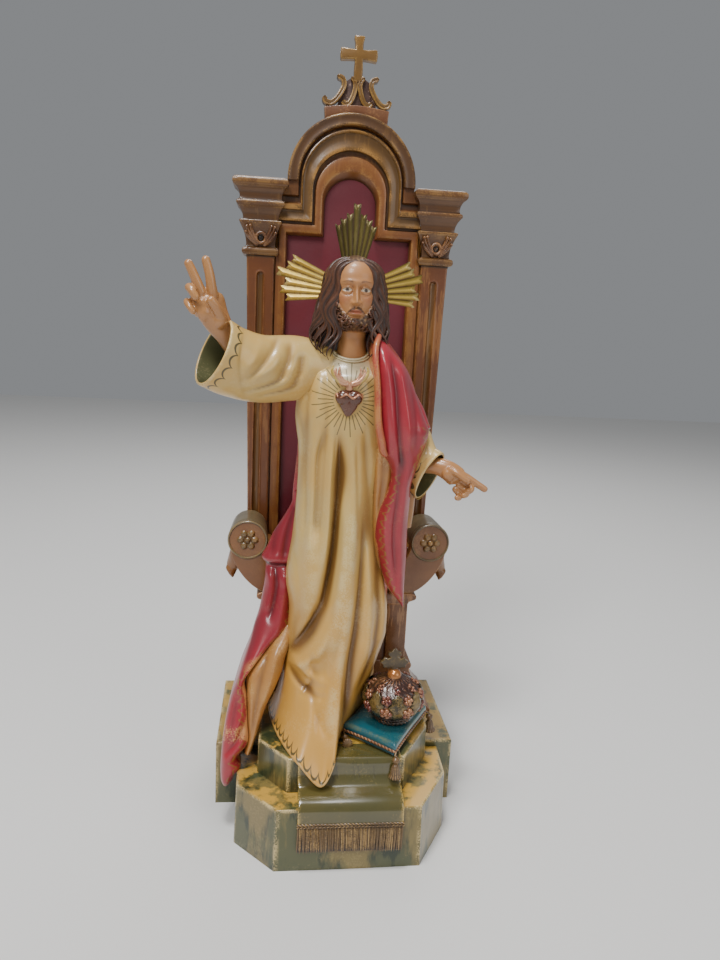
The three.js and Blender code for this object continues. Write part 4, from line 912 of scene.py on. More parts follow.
# %% Colours and lining of the train
train_points, train_hollow, train_ridge, _, from_right, train_side = cloth_slices(
    TRAIN, 210, 100, TRAIN_FOLDS)
train_z = train_points[..., 2]
train_bare = np.clip(0.75 - from_right / 5.0, 0, 1) * smooth_step((250 - train_z) / 40)
train_bare += 0.5 * bell(train_z, 172, 15) * np.clip(1.2 - from_right / 20, 0, 1)
train_bare += 0.48 * bell(train_z, 104, 12)
train_bare += 0.1 * smooth_step((150 - train_z) / 30) * smooth_step((train_z - 70) / 20)
# A dark line is painted along the crease where the edge turns over, as the shade in it.
turn_over_shade = 0.9 * bell(train_z, 265.5, 3.0)
train_part = part_of(train_points, CLOAK_PAINT, hollow=np.maximum(train_hollow, turn_over_shade),
                     wear=train_ridge * 0.5, hem_along=train_z,
                     hem_in=np.where(train_z < 235, from_right + 1.0, 0),
                     bare=np.clip(train_bare, 0, 1) * (train_side < 0.5))
train_lining = lining([
    [205, -62, -48, -20, -8, 20], [190, -72, -50, -34, -16, 22], [175, -84, -56, -42, -24, 20],
    [160, -95, -60, -47, -30, 16], [145, -96, -66, -50, -34, 8], [128, -95, -74, -52, -38, 2],
    [110, -94, -80, -54, -40, -6], [92, -93, -85, -55, -44, -12], [80, -96, -89, -56, -46, -20],
], 90, 90, [
    ([[-74, 185], [-80, 160], [-85, 130], [-89, 100]], (4, 3), 3.2),
    ([[-66, 185], [-70, 160], [-78, 130]], 4, -2.0),
    ([[-90, 160], [-91, 130], [-91, 105]], 3, -1.6),
], rubbed=0.2)
add_piece("train", [train_part, train_lining], ["figure"])

# %% [markdown]
# ## The hands
# A hand is carved from one block: the palm and the fingers run into each other. Separate tapered
# tubes are fused by a fine voxel remesh and smoothed, which gives those soft joints. They could be
# sculpted; as tubes, each finger keeps its place as a few numbers.

# %% Hands
def fused(grids, voxel, rounds, material, wear):
    """The union of closed grids: a remesh into voxels of the given size in mm, then smoothed by
    moving each vertex towards its neighbours' mean, rounds times."""
    verts, faces, start = [], [], 0
    for grid in grids:
        grid_verts, blocks = closed_grid(grid)
        verts.append(grid_verts)
        for block in blocks:
            faces.extend((block + start).tolist())
        start += len(grid_verts)
    rough = mesh_of("rough", verts, faces)
    holder = bpy.data.objects.new("rough", rough)
    bpy.context.scene.collection.objects.link(holder)
    remesh = holder.modifiers.new("voxels", "REMESH")
    remesh.mode = "VOXEL"
    remesh.voxel_size = voxel / 1000
    smooth = holder.modifiers.new("smooth", "SMOOTH")
    smooth.factor = 0.5
    smooth.iterations = rounds
    done = bpy.data.meshes.new_from_object(holder.evaluated_get(bpy.context.evaluated_depsgraph_get()))
    co = np.empty(len(done.vertices) * 3)
    done.vertices.foreach_get("co", co)
    quads = np.array([list(polygon.vertices) for polygon in done.polygons])
    bpy.data.objects.remove(holder)
    bpy.data.meshes.remove(done)
    bpy.data.meshes.remove(rough)
    return {"verts": co.reshape(-1, 3) * 1000, "faces": [quads], "material": material,
            "values": {"wear": wear}}


def finger_grid(points, radius, shrink=0.24):
    """A finger: a tube through the points, thinner by shrink at the tip."""
    thin = radius * (1 - shrink * np.linspace(0, 1, len(points)))
    return tube(np.column_stack([points, thin, thin]), 18, 40)

# %% Both hands
right_hand = [
    tube([[-106, -50, 474, 8.6, 9.6], [-118, -58, 492, 8.2, 9.6], [-127, -62.5, 506, 7.6, 12.6],
          [-132.5, -66, 518, 7.0, 15.0], [-136.5, -68, 528, 5.6, 12.5]], 28, 40),
    finger_grid([[-129, -67, 522], [-131, -69.5, 533], [-133, -70.5, 545], [-137, -70, 559]], 4.9),
    finger_grid([[-138, -68, 524], [-142.5, -70, 535], [-147, -70.5, 545], [-152, -70, 555]], 4.8),
    finger_grid([[-140, -67, 517], [-146.5, -68, 528], [-149.5, -72, 532], [-146.5, -77, 529],
                 [-141.5, -79, 521]], 4.3),
    finger_grid([[-140, -66, 508], [-148, -68, 518], [-151.2, -71, 520], [-148.5, -76, 516],
                 [-144, -78, 510]], 3.7),
    finger_grid([[-120, -62, 503], [-123, -69, 509], [-127, -74, 517], [-133, -77.5, 525]], 5.2),
    ball_rings([-124, -66, 506], [6.5, 7.5, 9], 20, 14),
    ball_rings([-137, -70, 512], [6.0, 5.5, 9], 20, 14),
]
left_hand = [
    tube([[66, -24, 376, 8, 8.5], [82, -36, 378, 7.5, 8.5], [93, -42, 375, 7.2, 9.8],
          [102, -45, 369, 6.6, 10.5], [106, -47, 365, 5.2, 9]], 28, 40),
    finger_grid([[99, -46, 374], [109, -49, 371], [120, -50, 364.5], [132.5, -50, 357]], 4.0, 0.2),
    finger_grid([[104, -45, 368], [113, -48, 364], [115.5, -53, 359], [110, -56, 356]], 3.9),
    finger_grid([[103, -45, 363], [110, -48, 358], [111, -53, 354], [105.5, -56, 352.5]], 3.8),
    finger_grid([[100, -44, 359], [105, -46, 353.5], [105, -51, 350], [100, -54, 350.5]], 3.6),
    finger_grid([[92, -45, 377], [99, -52, 375], [106, -56, 370.5], [113, -57, 366]], 4.0),
    ball_rings([95, -47, 372], [8, 5.5, 7], 20, 14),
]
hand_parts = [fused(grids, 0.66, 6, SKIN_PAINT, 0.25) for grids in (right_hand, left_hand)]
add_piece("hands", hand_parts, ["figure"])

# %% [markdown]
# ## The head
# The face is a general one, laid out by the rules carvers are taught: eyes at half the height of
# the head and one eye's width apart, the nose ending half way from brows to chin, the mouth a third
# of the rest. It's a fine grid round the head's axis; each feature is a soft bump or dent. It could
# be sculpted as well, but formulas keep both halves alike.

# %% Head form
HEAD = (-4.0, -26.0)
EYE_X, EYE_Z, MOUTH_Z, BROW_Z = 8.5, 538.8, 519.6, 545.6
HEAD_FORM = [
    [472, 15.5, 10, 14, 1.0], [488, 13.4, 11, 14, 1.0], [499, 13.0, 12.0, 15, 1.0],
    [503.5, 14.2, 15.0, 16.5, 0.95], [506.5, 15.6, 20.5, 18, 0.9], [509.5, 16.6, 23.6, 20, 0.92],
    [515, 17.8, 23.6, 22, 0.96], [520, 18.7, 24.0, 24, 1.0], [526, 19.5, 24.4, 25.5, 1.04],
    [533, 20.1, 24.5, 26.5, 1.08], [540, 20.5, 24.6, 27.5, 1.12], [548, 20.6, 25.6, 28, 1.12],
    [555, 19.9, 24.4, 27.5, 1.1], [562, 17.0, 20.2, 24, 1.05], [567, 12, 14, 17, 1], [570, 6, 7, 9, 1],
    [571, 2, 2, 3, 1],
]

# %% Relief of the face
NOSE_BRIDGE = [
    # height, how far the bridge stands out, its half width
    [523.8, 0, 3.4], [525.2, 2.6, 3.1], [527.2, 7.0, 3.0], [529.4, 7.5, 2.4], [533, 5.9, 2.0],
    [537, 4.1, 1.9], [541, 2.4, 2.1], [545, 0.7, 2.8], [548, 0, 3],
]


def hump(x, z, cx, cz, rx, rz):
    """A Gaussian bump of height 1 at (cx, cz) with half widths rx and rz."""
    return bell(x, cx, rx) * bell(z, cz, rz)


def face_relief(x, z):
    """How far the face stands out at x, z, and the painted masks. x is measured from its middle;
    side = |x| makes both halves alike."""
    side = np.abs(x)
    dx = side - EYE_X
    out = 1.2 * hump(side, z, 8.5, BROW_Z, 6.5, 2.3) + 0.7 * hump(x, z, 0, BROW_Z, 4, 3)
    out -= 3.3 * hump(side, z, EYE_X, EYE_Z + 0.3, 5.4, 3.9) + 1.2 * hump(side, z, 3.6, EYE_Z + 0.6, 1.7, 3.0)
    out += 2.9 * np.sqrt(np.maximum(0, 1 - (dx / 5.2) ** 2 - ((z - EYE_Z) / 4.2) ** 2))
    arch = np.maximum(0, 1 - (dx / 4.5) ** 2)
    upper, lower = EYE_Z + 2.0 * arch - 0.1, EYE_Z - 1.55 * arch - 0.1
    lids = smooth_step((4.9 - np.abs(dx)) / 0.8)
    out += lids * (0.55 * bell(z, upper + 0.35, 0.6) + 0.42 * bell(z, lower - 0.35, 0.6)
                   - 0.5 * bell(z, upper + 1.9, 0.5))
    opening = smooth_step((upper - z) / 0.35 + 0.5) * smooth_step((z - lower) / 0.35 + 0.5) * (arch > 0)
    out -= 0.35 * opening
    bridge = smooth_rows(NOSE_BRIDGE, np.clip(z, NOSE_BRIDGE[0][0], NOSE_BRIDGE[-1][0]))
    out += bridge[..., 1] * np.exp(-(side / bridge[..., 2]) ** 2.4)
    out += 2.6 * hump(side, z, 3.6, 527.3, 1.7, 1.9) - 0.6 * hump(side, z, 5.6, 527.4, 0.9, 2.2)
    out -= 1.2 * hump(side, z, 1.8, 525.1, 1.0, 0.7)
    out += 1.2 * hump(side, z, 11, 531, 5.5, 5) + 0.8 * hump(side, z, 15, 534, 4, 4)
    out -= 0.8 * hump(side, z, 13.5, 520, 4, 5)
    out += 1.5 * hump(x, z, 0, 519.6, 8, 5) - 0.3 * hump(x, z, 0, 523.2, 0.8, 1.2)
    lip = np.sqrt(np.maximum(0, 1 - (side / 6.8) ** 2))
    out += lip * (1.1 * bell(z, 521.2, 1.1) + 1.35 * bell(z, 517.8, 1.25) - 1.1 * bell(z, MOUTH_Z, 0.45))
    out += 1.5 * hump(x, z, 0, 510.8, 5, 3) - 1.1 * hump(x, z, 0, 515.1, 5, 1.2)
    from_eye = np.hypot(dx, z - EYE_Z)
    lash = bell(z, upper + 0.1, 0.33) * lids * (arch > 0)
    brow_half = 0.85 * np.clip((14.2 - side) / 9, 0.1, 1)
    brow = bell(z, BROW_Z + 0.9 - 0.045 * (side - 8) ** 2, brow_half)
    brow *= smooth_step((side - 3.2) / 1.2) * smooth_step((14.0 - side) / 2)
    return out, {"white": opening, "iris": smooth_step((1.75 - from_eye) / 0.3 + 0.5) * opening,
                 "pupil": smooth_step((0.8 - from_eye) / 0.3 + 0.5) * opening,
                 "lash": np.maximum(lash * 0.9, brow * 0.75), "glow": hump(side, z, 12, 530, 5.5, 5),
                 "lips": lip * smooth_step((2.3 - np.abs(z - 519.5)) / 0.8)}

# %% Beard and grid of the head
def beard_mask(x, z):
    """1 where the beard and moustache grow: below a line rising towards the ears, and a band over
    the mouth that turns down at both corners."""
    side = np.abs(x)
    jaw = smooth_step((514.2 + 21 * (side / 18.5) ** 2.6 - z) / 1.6 + 0.5) * smooth_step((z - 500.5) / 3)
    band = 523.3 - 0.12 * side - 0.062 * side ** 2
    moustache = bell(z, band, 1.5 * np.clip(1.15 - side / 14, 0.3, 1))
    return jaw, moustache * smooth_step((side - 0.4) / 1) * smooth_step((9.6 - side) / 1.5)


def head_grid(sides=264):
    """Rings z; column angles crowd to the front. Radius is an oval with its own front and back
    depths; the last table column squares (over 1) or points (under 1) the oval."""
    z = np.concatenate([np.linspace(472, 500, 26, endpoint=False), np.linspace(500, 552, 150, endpoint=False),
                        np.linspace(552, 570.9, 34)])
    half, front_deep, back_deep, square = smooth_rows(HEAD_FORM, z)[:, 1:, None].transpose(1, 0, 2)
    z = z[:, None]
    turn = round_angles(sides)
    angle = turn + 0.55 * np.sin(turn)
    sine, cosine = np.sin(angle)[None], np.cos(angle)[None]
    x = half * np.sign(sine) * np.abs(sine) ** (1 / square)
    ahead = np.where(cosine > 0, front_deep, back_deep) * np.sign(cosine) * np.abs(cosine) ** (1 / square)
    relief, masks = face_relief(x, z + 0 * x)
    jaw, moustache = beard_mask(x, z + 0 * x)
    front = smooth_step((cosine - 0.05) / 0.35)
    waves = 0.5 * np.sin(1.5 * x + 1.4 * np.sin(0.8 * z)) + 0.5 * np.sin(1.3 * z + 1.3 * np.sin(0.9 * x))
    comb = np.cos(2.6 * (z - 520) + 2.2 * np.abs(x))
    hairy = jaw * (1.9 + 0.75 * waves) + moustache * (1.5 + 0.3 * comb)
    ahead = ahead + front * (relief * (1 - 0.6 * jaw) + hairy)
    x = x * (1 + front * 0.05 * jaw)
    cap = smooth_step((z - 563.5 + 0.02 * x ** 2 + 60 * (cosine < 0.2)) / 1.2)
    masks = {key: value * front for key, value in masks.items()}
    beard = np.maximum(np.clip(jaw + moustache, 0, 1) * front, cap)
    masks.update(beard=beard, wear=0.2 + np.clip(waves, 0, 1) * beard * 0.6,
                 hollow=np.clip(-waves, 0, 1) * beard * 0.5)
    return xyz(HEAD[0] + x, HEAD[1] - ahead, z), masks

# %% Colours of the face
FACE_MASKS = [
    # mask, colour, strength, in the order of painting
    ("glow", (0.45, 0.13, 0.06), 0.45), ("lips", (0.36, 0.1, 0.06), 0.8), ("lash", (0.05, 0.022, 0.01), 1.0),
    ("white", (0.55, 0.45, 0.33), 1.0), ("iris", (0.07, 0.03, 0.012), 1.0),
    ("pupil", (0.006, 0.005, 0.004), 1.0), ("beard", (0.05, 0.022, 0.012), 0.93),
]


def face_colours(tree, colour):
    """Eyes, brows, lips, cheeks and beard over the flesh, each by its own mask."""
    for key, paint, strength in FACE_MASKS:
        colour = blend_colours(tree, times(tree, attribute(tree, key), strength), colour, paint)
    return colour


FACE_PAINT = painted("face_paint", (0.45, 0.21, 0.075), (0.4, 0.16, 0.055), (0.05, 0.02, 0.01),
                     (0.6, 0.36, 0.16), extra=face_colours, rub=0.5, flecks=0.06, coat=0.3, bump=0.08,
                     clouds=0.5)
head_points, head_masks = head_grid()
head_part = part_of(head_points, FACE_PAINT, **head_masks)
print("grid of the head", head_points.shape[:2])

# %% [markdown]
# ## Hair and beard
# The hair is parted in the middle and falls in waving locks to the shoulders. A lock is a tapered
# tube with a grooved section; the locks lie over a plainer cap. Short curls edge the beard.
# Blender's hair strands look like real hair, and carved hair is made of solid locks.

# %% Hair
HAIR_FALL = [
    # height, half width left, half width right, front, back of the mass of hair
    [569, 2, 2, 2, 3], [567, 11, 11, 13, 15], [562, 19, 18, 20, 22], [555, 23.5, 22.5, 23, 27],
    [545, 25.5, 25.5, 22, 30], [530, 29, 28.5, 20, 31], [515, 34, 31, 19, 32], [500, 38, 33, 17, 33],
    [486, 38, 32, 15, 34], [470, 30, 26, 12, 36],
]
DOME_Z, DOME_RISE, DOME_DEEP = 548.0, 20.5, 28
DOME_SHARE = 0.28
random = np.random.default_rng(11)


def lock_path(side, theta, length, wave, phase, lift):
    """The line of a lock. From the parting it runs down a quarter ellipse to the height DOME_Z at
    the bearing theta, then falls along the mass, swinging by wave radians, lift mm off the mass."""
    s = np.linspace(0, 1, 44)
    behind = 24 * math.cos(theta)
    start_z = DOME_Z + DOME_RISE * math.sqrt(1 - (behind / DOME_DEEP) ** 2)
    arc = np.clip(s / DOME_SHARE, 0, 1) * np.pi / 2
    fallen = np.clip((s - DOME_SHARE) / (1 - DOME_SHARE), 0, 1)
    z = DOME_Z + (start_z - DOME_Z) * np.cos(arc) - (length - start_z + DOME_Z) * fallen
    _, left, right_, front, back = smooth_rows(HAIR_FALL, np.clip(z, 470, DOME_Z)).T
    sway = np.sin(2 * np.pi * (2.3 * s + phase))
    swing = theta + wave * sway * smooth_step(s * 1.6) * (0.35 + 0.65 * s)
    sine, cosine = np.sin(swing), np.cos(swing)
    wide, reach = np.where(side < 0, left, right_), np.where(cosine > 0, front, back)
    fan = np.sin(arc)
    parting = HEAD[1] + 2 - behind
    forward = 9.0 * smooth_step((512 - z) / 34) * max(0.0, math.cos(theta - 0.5))
    path = xyz(HEAD[0] + side * (1.0 + (wide * sine - 1.0) * fan),
               parting + (HEAD[1] + 2 - reach * cosine - parting) * fan - forward, z)
    return path + xyz(side * sine, -cosine, 0.25) * (lift + 0.9 * sway)[:, None]


def lock_part(path, wide, thick, rubbed, dark, sides=12, grooves=3):
    """A tube over a path, its section an ellipse whose radius is waved by the grooves, closing to
    a point at the end. The wave's ridges are rubbed and its grooves dark."""
    s = np.linspace(0, 1, len(path))[:, None]
    shape = (0.35 + 0.65 * smooth_step(s * 4)) * (1 - smooth_step((s - 0.55) / 0.47) * 0.93)
    ahead = unit(np.gradient(path, axis=0))
    out = path - [HEAD[0], HEAD[1], 0]
    out[:, 2] = np.clip(path[:, 2] - 545, 0, 30)
    out = unit(out - np.einsum("ij,ij->i", out, ahead)[:, None] * ahead)
    ripple = np.cos(grooves * round_angles(sides) + 3 * s)
    swell = (1 + 0.1 * ripple) * shape
    points = ellipse_rings(path, np.cross(ahead, out), out, wide * swell, thick * swell, sides)
    return part_of(points, HAIR_PAINT, wear=rubbed(ripple), hollow=np.clip(-ripple, 0, 1) * dark)

# %% Locks
hair_parts = []
for side in (-1, 1):
    for theta in np.linspace(0.75, 1.7, 6):
        path = lock_path(side, theta, 84, 0.18, theta, -7.0)
        hair_parts.append(lock_part(path, 6.0, 4.0, lambda ripple: np.clip(ripple, 0, 1) * 0.5, 0.9))
    for layer, (count, lift, wide, thick) in enumerate(((14, -1.0, 5.4, 3.2), (13, 1.0, 4.2, 2.8))):
        for theta in np.linspace(0.6 + 0.1 * layer, 3.0 + 0.1 * layer, count):
            theta = theta + random.uniform(-0.05, 0.05)
            front = math.cos(theta - 0.9)
            length = (83 + 8 * max(0.0, front) - 6 * layer) * random.uniform(0.92, 1.0) if theta < 2.2 else 96
            path = lock_path(side, theta, length, random.uniform(0.15, 0.25), random.uniform(0, 1), lift)
            hair_parts.append(lock_part(path, wide * random.uniform(0.85, 1.1), thick,
                                        lambda ripple: np.clip(ripple, 0, 1) * 0.8 + 0.1 * layer, 0.8))
print(len(hair_parts), "locks")

# %% The mass under the locks
under_z = np.linspace(470, 569, 60)
_, left, right_, front, back = smooth_rows(HAIR_FALL, under_z).T[..., None]
sine, cosine = np.sin(round_angles(80)), np.cos(round_angles(80))
half = np.where(sine < 0, left, right_) - 4.0
reach = np.where(cosine > 0, np.minimum(front - 12.0, 6.0), back - 4.0)
under = xyz(HEAD[0] + np.maximum(half, 0.5) * sine, HEAD[1] + 4 - np.maximum(reach, 0.5) * cosine,
            under_z[:, None] - 1.0)
# The mass under the locks is painted dark all over, as the shade beneath them.
hair_parts.append(part_of(under, HAIR_PAINT, hollow=0.8))

# %% Curls of the beard
CURL_TRIES, CURL_POINTS = 70, 16
rows_found, cols_found = np.nonzero((head_masks["beard"] > 0.75) & (head_points[..., 2] < 530)
                                    & (head_points[..., 1] < HEAD[1] - 4))
normals = unit(np.cross(np.gradient(head_points, axis=0), np.gradient(head_points, axis=1)))
normals *= -np.sign(normals[121, 0, 1])
curls = 0
for pick in random.choice(len(rows_found), CURL_TRIES, replace=False):
    r0, c0 = rows_found[pick], cols_found[pick]
    s = np.linspace(0, 1, CURL_POINTS)
    hand = random.choice([-1.0, 1.0])
    r = np.clip(np.round(r0 - 13 * s).astype(int), 24, 202)
    c = np.round(c0 + hand * 5 * np.sin(s * 4.2)).astype(int) % head_points.shape[1]
    if head_masks["beard"][r, c].min() < 0.3:
        continue
    padded = np.pad(head_points[r, c], ((2, 2), (0, 0)), mode="edge")
    soft = np.mean([padded[k:k + CURL_POINTS] for k in range(5)], axis=0)
    line = soft + normals[r0, c0] * (0.5 + 0.8 * np.sin(s * np.pi))[:, None]
    hair_parts.append(lock_part(line, 1.15, 0.95, lambda ripple: 0.6, 0.0, 8, 2))
    curls += 1
print(len(hair_parts), "locks and curls, of them in the beard", curls)
add_piece("head", [head_part], ["figure"])
add_piece("hair", hair_parts, ["figure"])

# %% [markdown]
# ## The heart on the breast
# A small carved heart with a ring round it, a short neck and two tongues of flame to the sides. It
# is fused as the hands are, because its lobes and its point run into each other.

# %% Heart
HEART_PAINT = painted("heart_paint", (0.07, 0.018, 0.008), (0.12, 0.034, 0.014), (0.03, 0.012, 0.006),
                      (0.4, 0.17, 0.09), rub=0.5, flecks=0.1, roughness=0.22)
FLAME_PAINT = painted("flame_paint", (0.5, 0.2, 0.11), (0.55, 0.28, 0.12), (0.12, 0.04, 0.02),
                      (0.8, 0.56, 0.34), rub=0.9, flecks=0.2, metallic=0.35, roughness=0.28)
FLAME_GOLD = painted("flame_gold", (0.5, 0.33, 0.05), (0.42, 0.26, 0.04), (0.12, 0.06, 0.015),
                     (0.75, 0.6, 0.25), rub=0.8, flecks=0.2, metallic=0.4, roughness=0.3)
HEART_PLACE = np.array([HEART[0], -60.0, HEART[1], 0, 0])
FLAMES = ((1.0, 0.8, 2.4, FLAME_PAINT), (1.22, 0.95, 1.9, FLAME_GOLD), (0.74, 0.9, 1.8, FLAME_PAINT))


def heart_tube(stations, *counts, up=(0, 1, 0)):
    """A tube whose stations are measured from the middle of the heart."""
    return tube(HEART_PLACE + stations, *counts, up=up)


heart_block = fused([
    ball_rings(HEART_PLACE[:3] + [-5.0, 0, 2.5], [7.6, 6.2, 7.2], 24, 16),
    ball_rings(HEART_PLACE[:3] + [5.0, 0, 2.5], [7.6, 6.2, 7.2], 24, 16),
    heart_tube([[0, 0.5, 3, 5.5, 10.8], [0, 0.5, -6, 4.6, 7.8], [-0.5, 1, -15, 2, 2]], 24, 20, up=(1, 0, 0)),
], 0.55, 4, HEART_PAINT, 0.3)
ring_turn = round_angles(60)
thorn_ring = HEART_PLACE[:3] + xyz(12.0 * np.cos(ring_turn), 0.6 + 6.9 * np.sin(ring_turn),
                                   4.4 + 1.6 * np.sin(6 * ring_turn))
ring_grid = ellipse_rings(thorn_ring, xyz(np.cos(ring_turn), np.sin(ring_turn), 0), (0, 0, 1), 1.1, 1.1, 10)
neck = heart_tube([[0, 1.5, 8, 4.2, 4.2], [0, 1, 12.5, 3.2, 3.0], [0, 1, 16, 4.6, 3.4]], 20, 16)
heart_parts = [heart_block, part_of(ring_grid, FLAME_PAINT, wrap_rows=True, wear=0.2),
               part_of(neck, FLAME_PAINT, wear=0.45)]
for side in (-1, 1):
    for spread, rise, thick, paint in FLAMES:
        flame = heart_tube([
            [0, 0.8, 15, thick * 1.3, thick * 1.5],
            [side * 6 * spread, 0, 14.5 + 2 * rise, thick * 1.2, thick * 1.3],
            [side * 11 * spread, 0.2, 16 + 5 * rise, thick, thick],
            [side * 13.5 * spread, 0.5, 17 + 10 * rise, 0.7 * thick, 0.7 * thick],
            [side * 12.5 * spread, 1, 18 + 14 * rise, 0.3 * thick, 0.3 * thick],
        ], 14, 30)
        heart_parts.append(part_of(flame, paint, wear=0.45))
add_piece("heart", heart_parts, ["figure"])

# %% [markdown]
# ## The throne's frame
# The frame is built up of mouldings that follow the opening: straight jambs, a square shoulder and
# a round head. One section is swept along a family of such outlines, from the opening outwards. A
# bevelled curve keeps one outline all the way; here it changes from moulding to moulding, so the
# outlines are blended.

# %% Plates
def grown_outline(outline, by):
    """An outline moved inwards by the given mm along the mitre of its corners."""
    inward = []
    for edge in (outline - np.roll(outline, 1, 0), np.roll(outline, -1, 0) - outline):
        ahead = unit(edge)
        inward.append(np.stack([-ahead[:, 1], ahead[:, 0]], -1))
    return outline + by * sum(inward) / np.maximum(1 + np.einsum("ij,ij->i", *inward), 0.35)[:, None]


def plate_part(outline, front, back, material, bevel=0.8, wear=0.3, **values):
    """A flat plate in X and Z with its front edge rounded over by bevel: rings of the outline from
    the back to the front, moved in by bevel (1 - cos a) as they come forward, and closed by faces."""
    outline = np.asarray(outline, float)
    x, z = outline.T
    if np.sum(x * np.roll(z, -1) - np.roll(x, -1) * z) < 0:
        outline = outline[::-1]
    levels = [(back, 0.0), (front + bevel, 0.0)]
    levels += [(front + bevel * (1 - math.sin(a)), bevel * (1 - math.cos(a)))
               for a in (0.5, 1.05, math.pi / 2)]
    rings = [np.insert(grown_outline(outline, inset), 1, y, axis=1) for y, inset in levels]
    count = len(outline)
    i = np.arange(count)
    j = (i + 1) % count
    quads = [np.stack([(k + 1) * count + i, k * count + i, k * count + j, (k + 1) * count + j], -1)
             for k in range(len(rings) - 1)]
    caps = [((len(rings) - 1) * count + i)[None], i[::-1][None]]
    rub = np.repeat([0.1, 0.6, 1.0, 0.9, wear], count)
    return {"verts": np.concatenate(rings), "faces": [*quads, *caps], "material": material,
            "values": {"wear": rub, **values}}


def mirrored_part(part):
    """The same part with x turned into -x, its faces turned round."""
    return {**part, "verts": part["verts"] * [-1, 1, 1], "faces": [block[:, ::-1] for block in part["faces"]]}


def both_halves(right_half):
    """An outline of points [x, z] from its right half: the half, then its mirror image back."""
    right_half = np.array(right_half, float)
    return np.concatenate([right_half, (right_half * [-1, 1])[::-1]])

# %% Sweep of the frame
SEAT_TOP = 217.3


def arched(top_half, centre_z, shoulder_z, side_half):
    """The right jamb and shoulder as three points, and the half circle over them."""
    arc = np.linspace(0, np.pi, 61)
    right = np.array([(side_half, SEAT_TOP), (side_half, shoulder_z), (top_half, shoulder_z)], float)
    return right, np.stack([top_half * np.cos(arc), centre_z + top_half * np.sin(arc)], -1)


MOULDINGS = [(27.5, 633.5, 600, 66.5), (31, 638, 603, 68.5), (38, 645, 611, 75.5), (41, 647.5, 614, 76.5),
             (52, 655, 626, 78), (56, 656.5, 640, 79), (68, 657, 649, 95)]
SECTION = [
    # place across the mouldings, how far back the face lies, painted shade (grooves, slope to the panel),
    # rubbed gilding
    [0.0, 106.9, 0.8, 0], [0.25, 104.4, 0.5, 0], [0.5, 102.4, 0.25, 0.1], [0.8, 100.2, 0.1, 0.3],
    [0.95, 99.3, 0, 0.7], [1.08, 98.9, 0, 0.5], [1.5, 98.8, 0, 0.25], [1.9, 98.8, 0, 0.4],
    [1.98, 99.2, 0, 0.6], [2.04, 101.4, 0.5, 0], [2.3, 102.2, 0.6, 0], [2.9, 102.0, 0.6, 0],
    [2.97, 99.6, 0.4, 0], [3.02, 97.2, 0, 0.8], [3.1, 96.8, 0, 0.8], [3.25, 97.3, 0.1, 0.4],
    [3.5, 98.8, 0.3, 0.2], [3.78, 99.5, 0.4, 0], [3.93, 98.8, 0.3, 0.1], [3.99, 96.6, 0, 0.6],
    [4.15, 96.0, 0, 0.7], [4.35, 96.4, 0, 0.5], [4.42, 98.4, 0.4, 0], [4.55, 101.2, 0.6, 0],
    [4.9, 101.4, 0.9, 0], [5.0, 99.6, 0.3, 0], [5.04, 98.5, 0.2, 0.3], [5.98, 98.5, 0.2, 0.2],
    [6.0, 99.5, 0, 0], [6.0, 120.3, 0, 0], [0.0, 120.3, 0, 0],
]
PILASTER = [[SEAT_TOP, 84.0], [240, 96.5], [258, 102.6], [300, 103.3], [420, 105.8], [578, 109.4]]
FLAT_BAND_Y = 98.8


def frame_grid():
    """Rows along the outline, columns round the section. A column's outline is the blend of the two
    mouldings it lies between. On the straight jambs the outer mouldings die into one flat band."""
    outlines = []
    for moulding in MOULDINGS:
        straight, arc = arched(*moulding)
        right = np.concatenate([np.linspace(straight[0], straight[1], 60)[:-1],
                                np.linspace(straight[1], straight[2], 14)[:-1],
                                np.linspace(straight[2], arc[0], 12)[:-1]])
        outlines.append(np.concatenate([right, arc, (right * [-1, 1])[::-1]]))
    outlines = np.array(outlines)
    m, depth, dark, gilding = np.array(SECTION).T
    low = np.clip(np.floor(m).astype(int), 0, len(MOULDINGS) - 2)
    blend = (m - low)[:, None, None]
    across = (outlines[low] * (1 - blend) + outlines[low + 1] * blend).transpose(1, 0, 2)
    plain = smooth_step((596 - across[..., 1]) / 22) * ((m > 1.9) & (m < 4.8))
    points = xyz(across[..., 0], depth + (FLAT_BAND_Y - depth) * plain, across[..., 1])
    # The section's darkness is shade painted into the grooves and onto the slope down to the panel.
    return part_of(points, FRAME_PAINT, hollow=dark * (1 - plain), wear=gilding * (1 - plain),
                   across=m + (1.7 - m) * plain)

# %% Paints of the throne
def moulding_colours(tree, colour):
    """Orange-brown on the inner band, olive-ochre on the hollow one, dark beyond."""
    across = attribute(tree, "across")
    olive = times(tree, ramp(tree, across, 2.4, 3.0), ramp(tree, across, 4.6, 4.2))
    colour = blend_colours(tree, times(tree, olive, 0.85), colour, (0.115, 0.058, 0.009))
    return blend_colours(tree, times(tree, ramp(tree, across, 4.8, 5.1), 0.5), colour, (0.07, 0.025, 0.008))


WOOD = dict(rub=0.85, roughness=0.36, coat=0.35, bump=0.2)
FRAME_PAINT = painted("frame_paint", (0.215, 0.076, 0.016), (0.165, 0.052, 0.012), (0.04, 0.016, 0.005),
                      (0.45, 0.22, 0.05), extra=moulding_colours, streaks=0.15, **WOOD)
PILASTER_PAINT = painted("pilaster_paint", (0.15, 0.047, 0.012), (0.11, 0.032, 0.008), (0.11, 0.048, 0.009),
                         (0.42, 0.2, 0.06), streaks=0.3, **WOOD)
FASCIA_PAINT = painted("fascia_paint", (0.085, 0.036, 0.01), (0.06, 0.024, 0.007), (0.03, 0.012, 0.004),
                       (0.34, 0.18, 0.05), streaks=0.12, **WOOD)
CAPITAL_PAINT = painted("capital_paint", (0.115, 0.046, 0.011), (0.08, 0.03, 0.008), (0.018, 0.008, 0.003),
                        (0.36, 0.19, 0.05), streaks=0.15, **WOOD)
LEAF_PAINT = painted("leaf_paint", (0.1, 0.035, 0.01), (0.07, 0.025, 0.008), (0.012, 0.006, 0.003),
                     (0.36, 0.17, 0.06), rub=0.9, roughness=0.34)
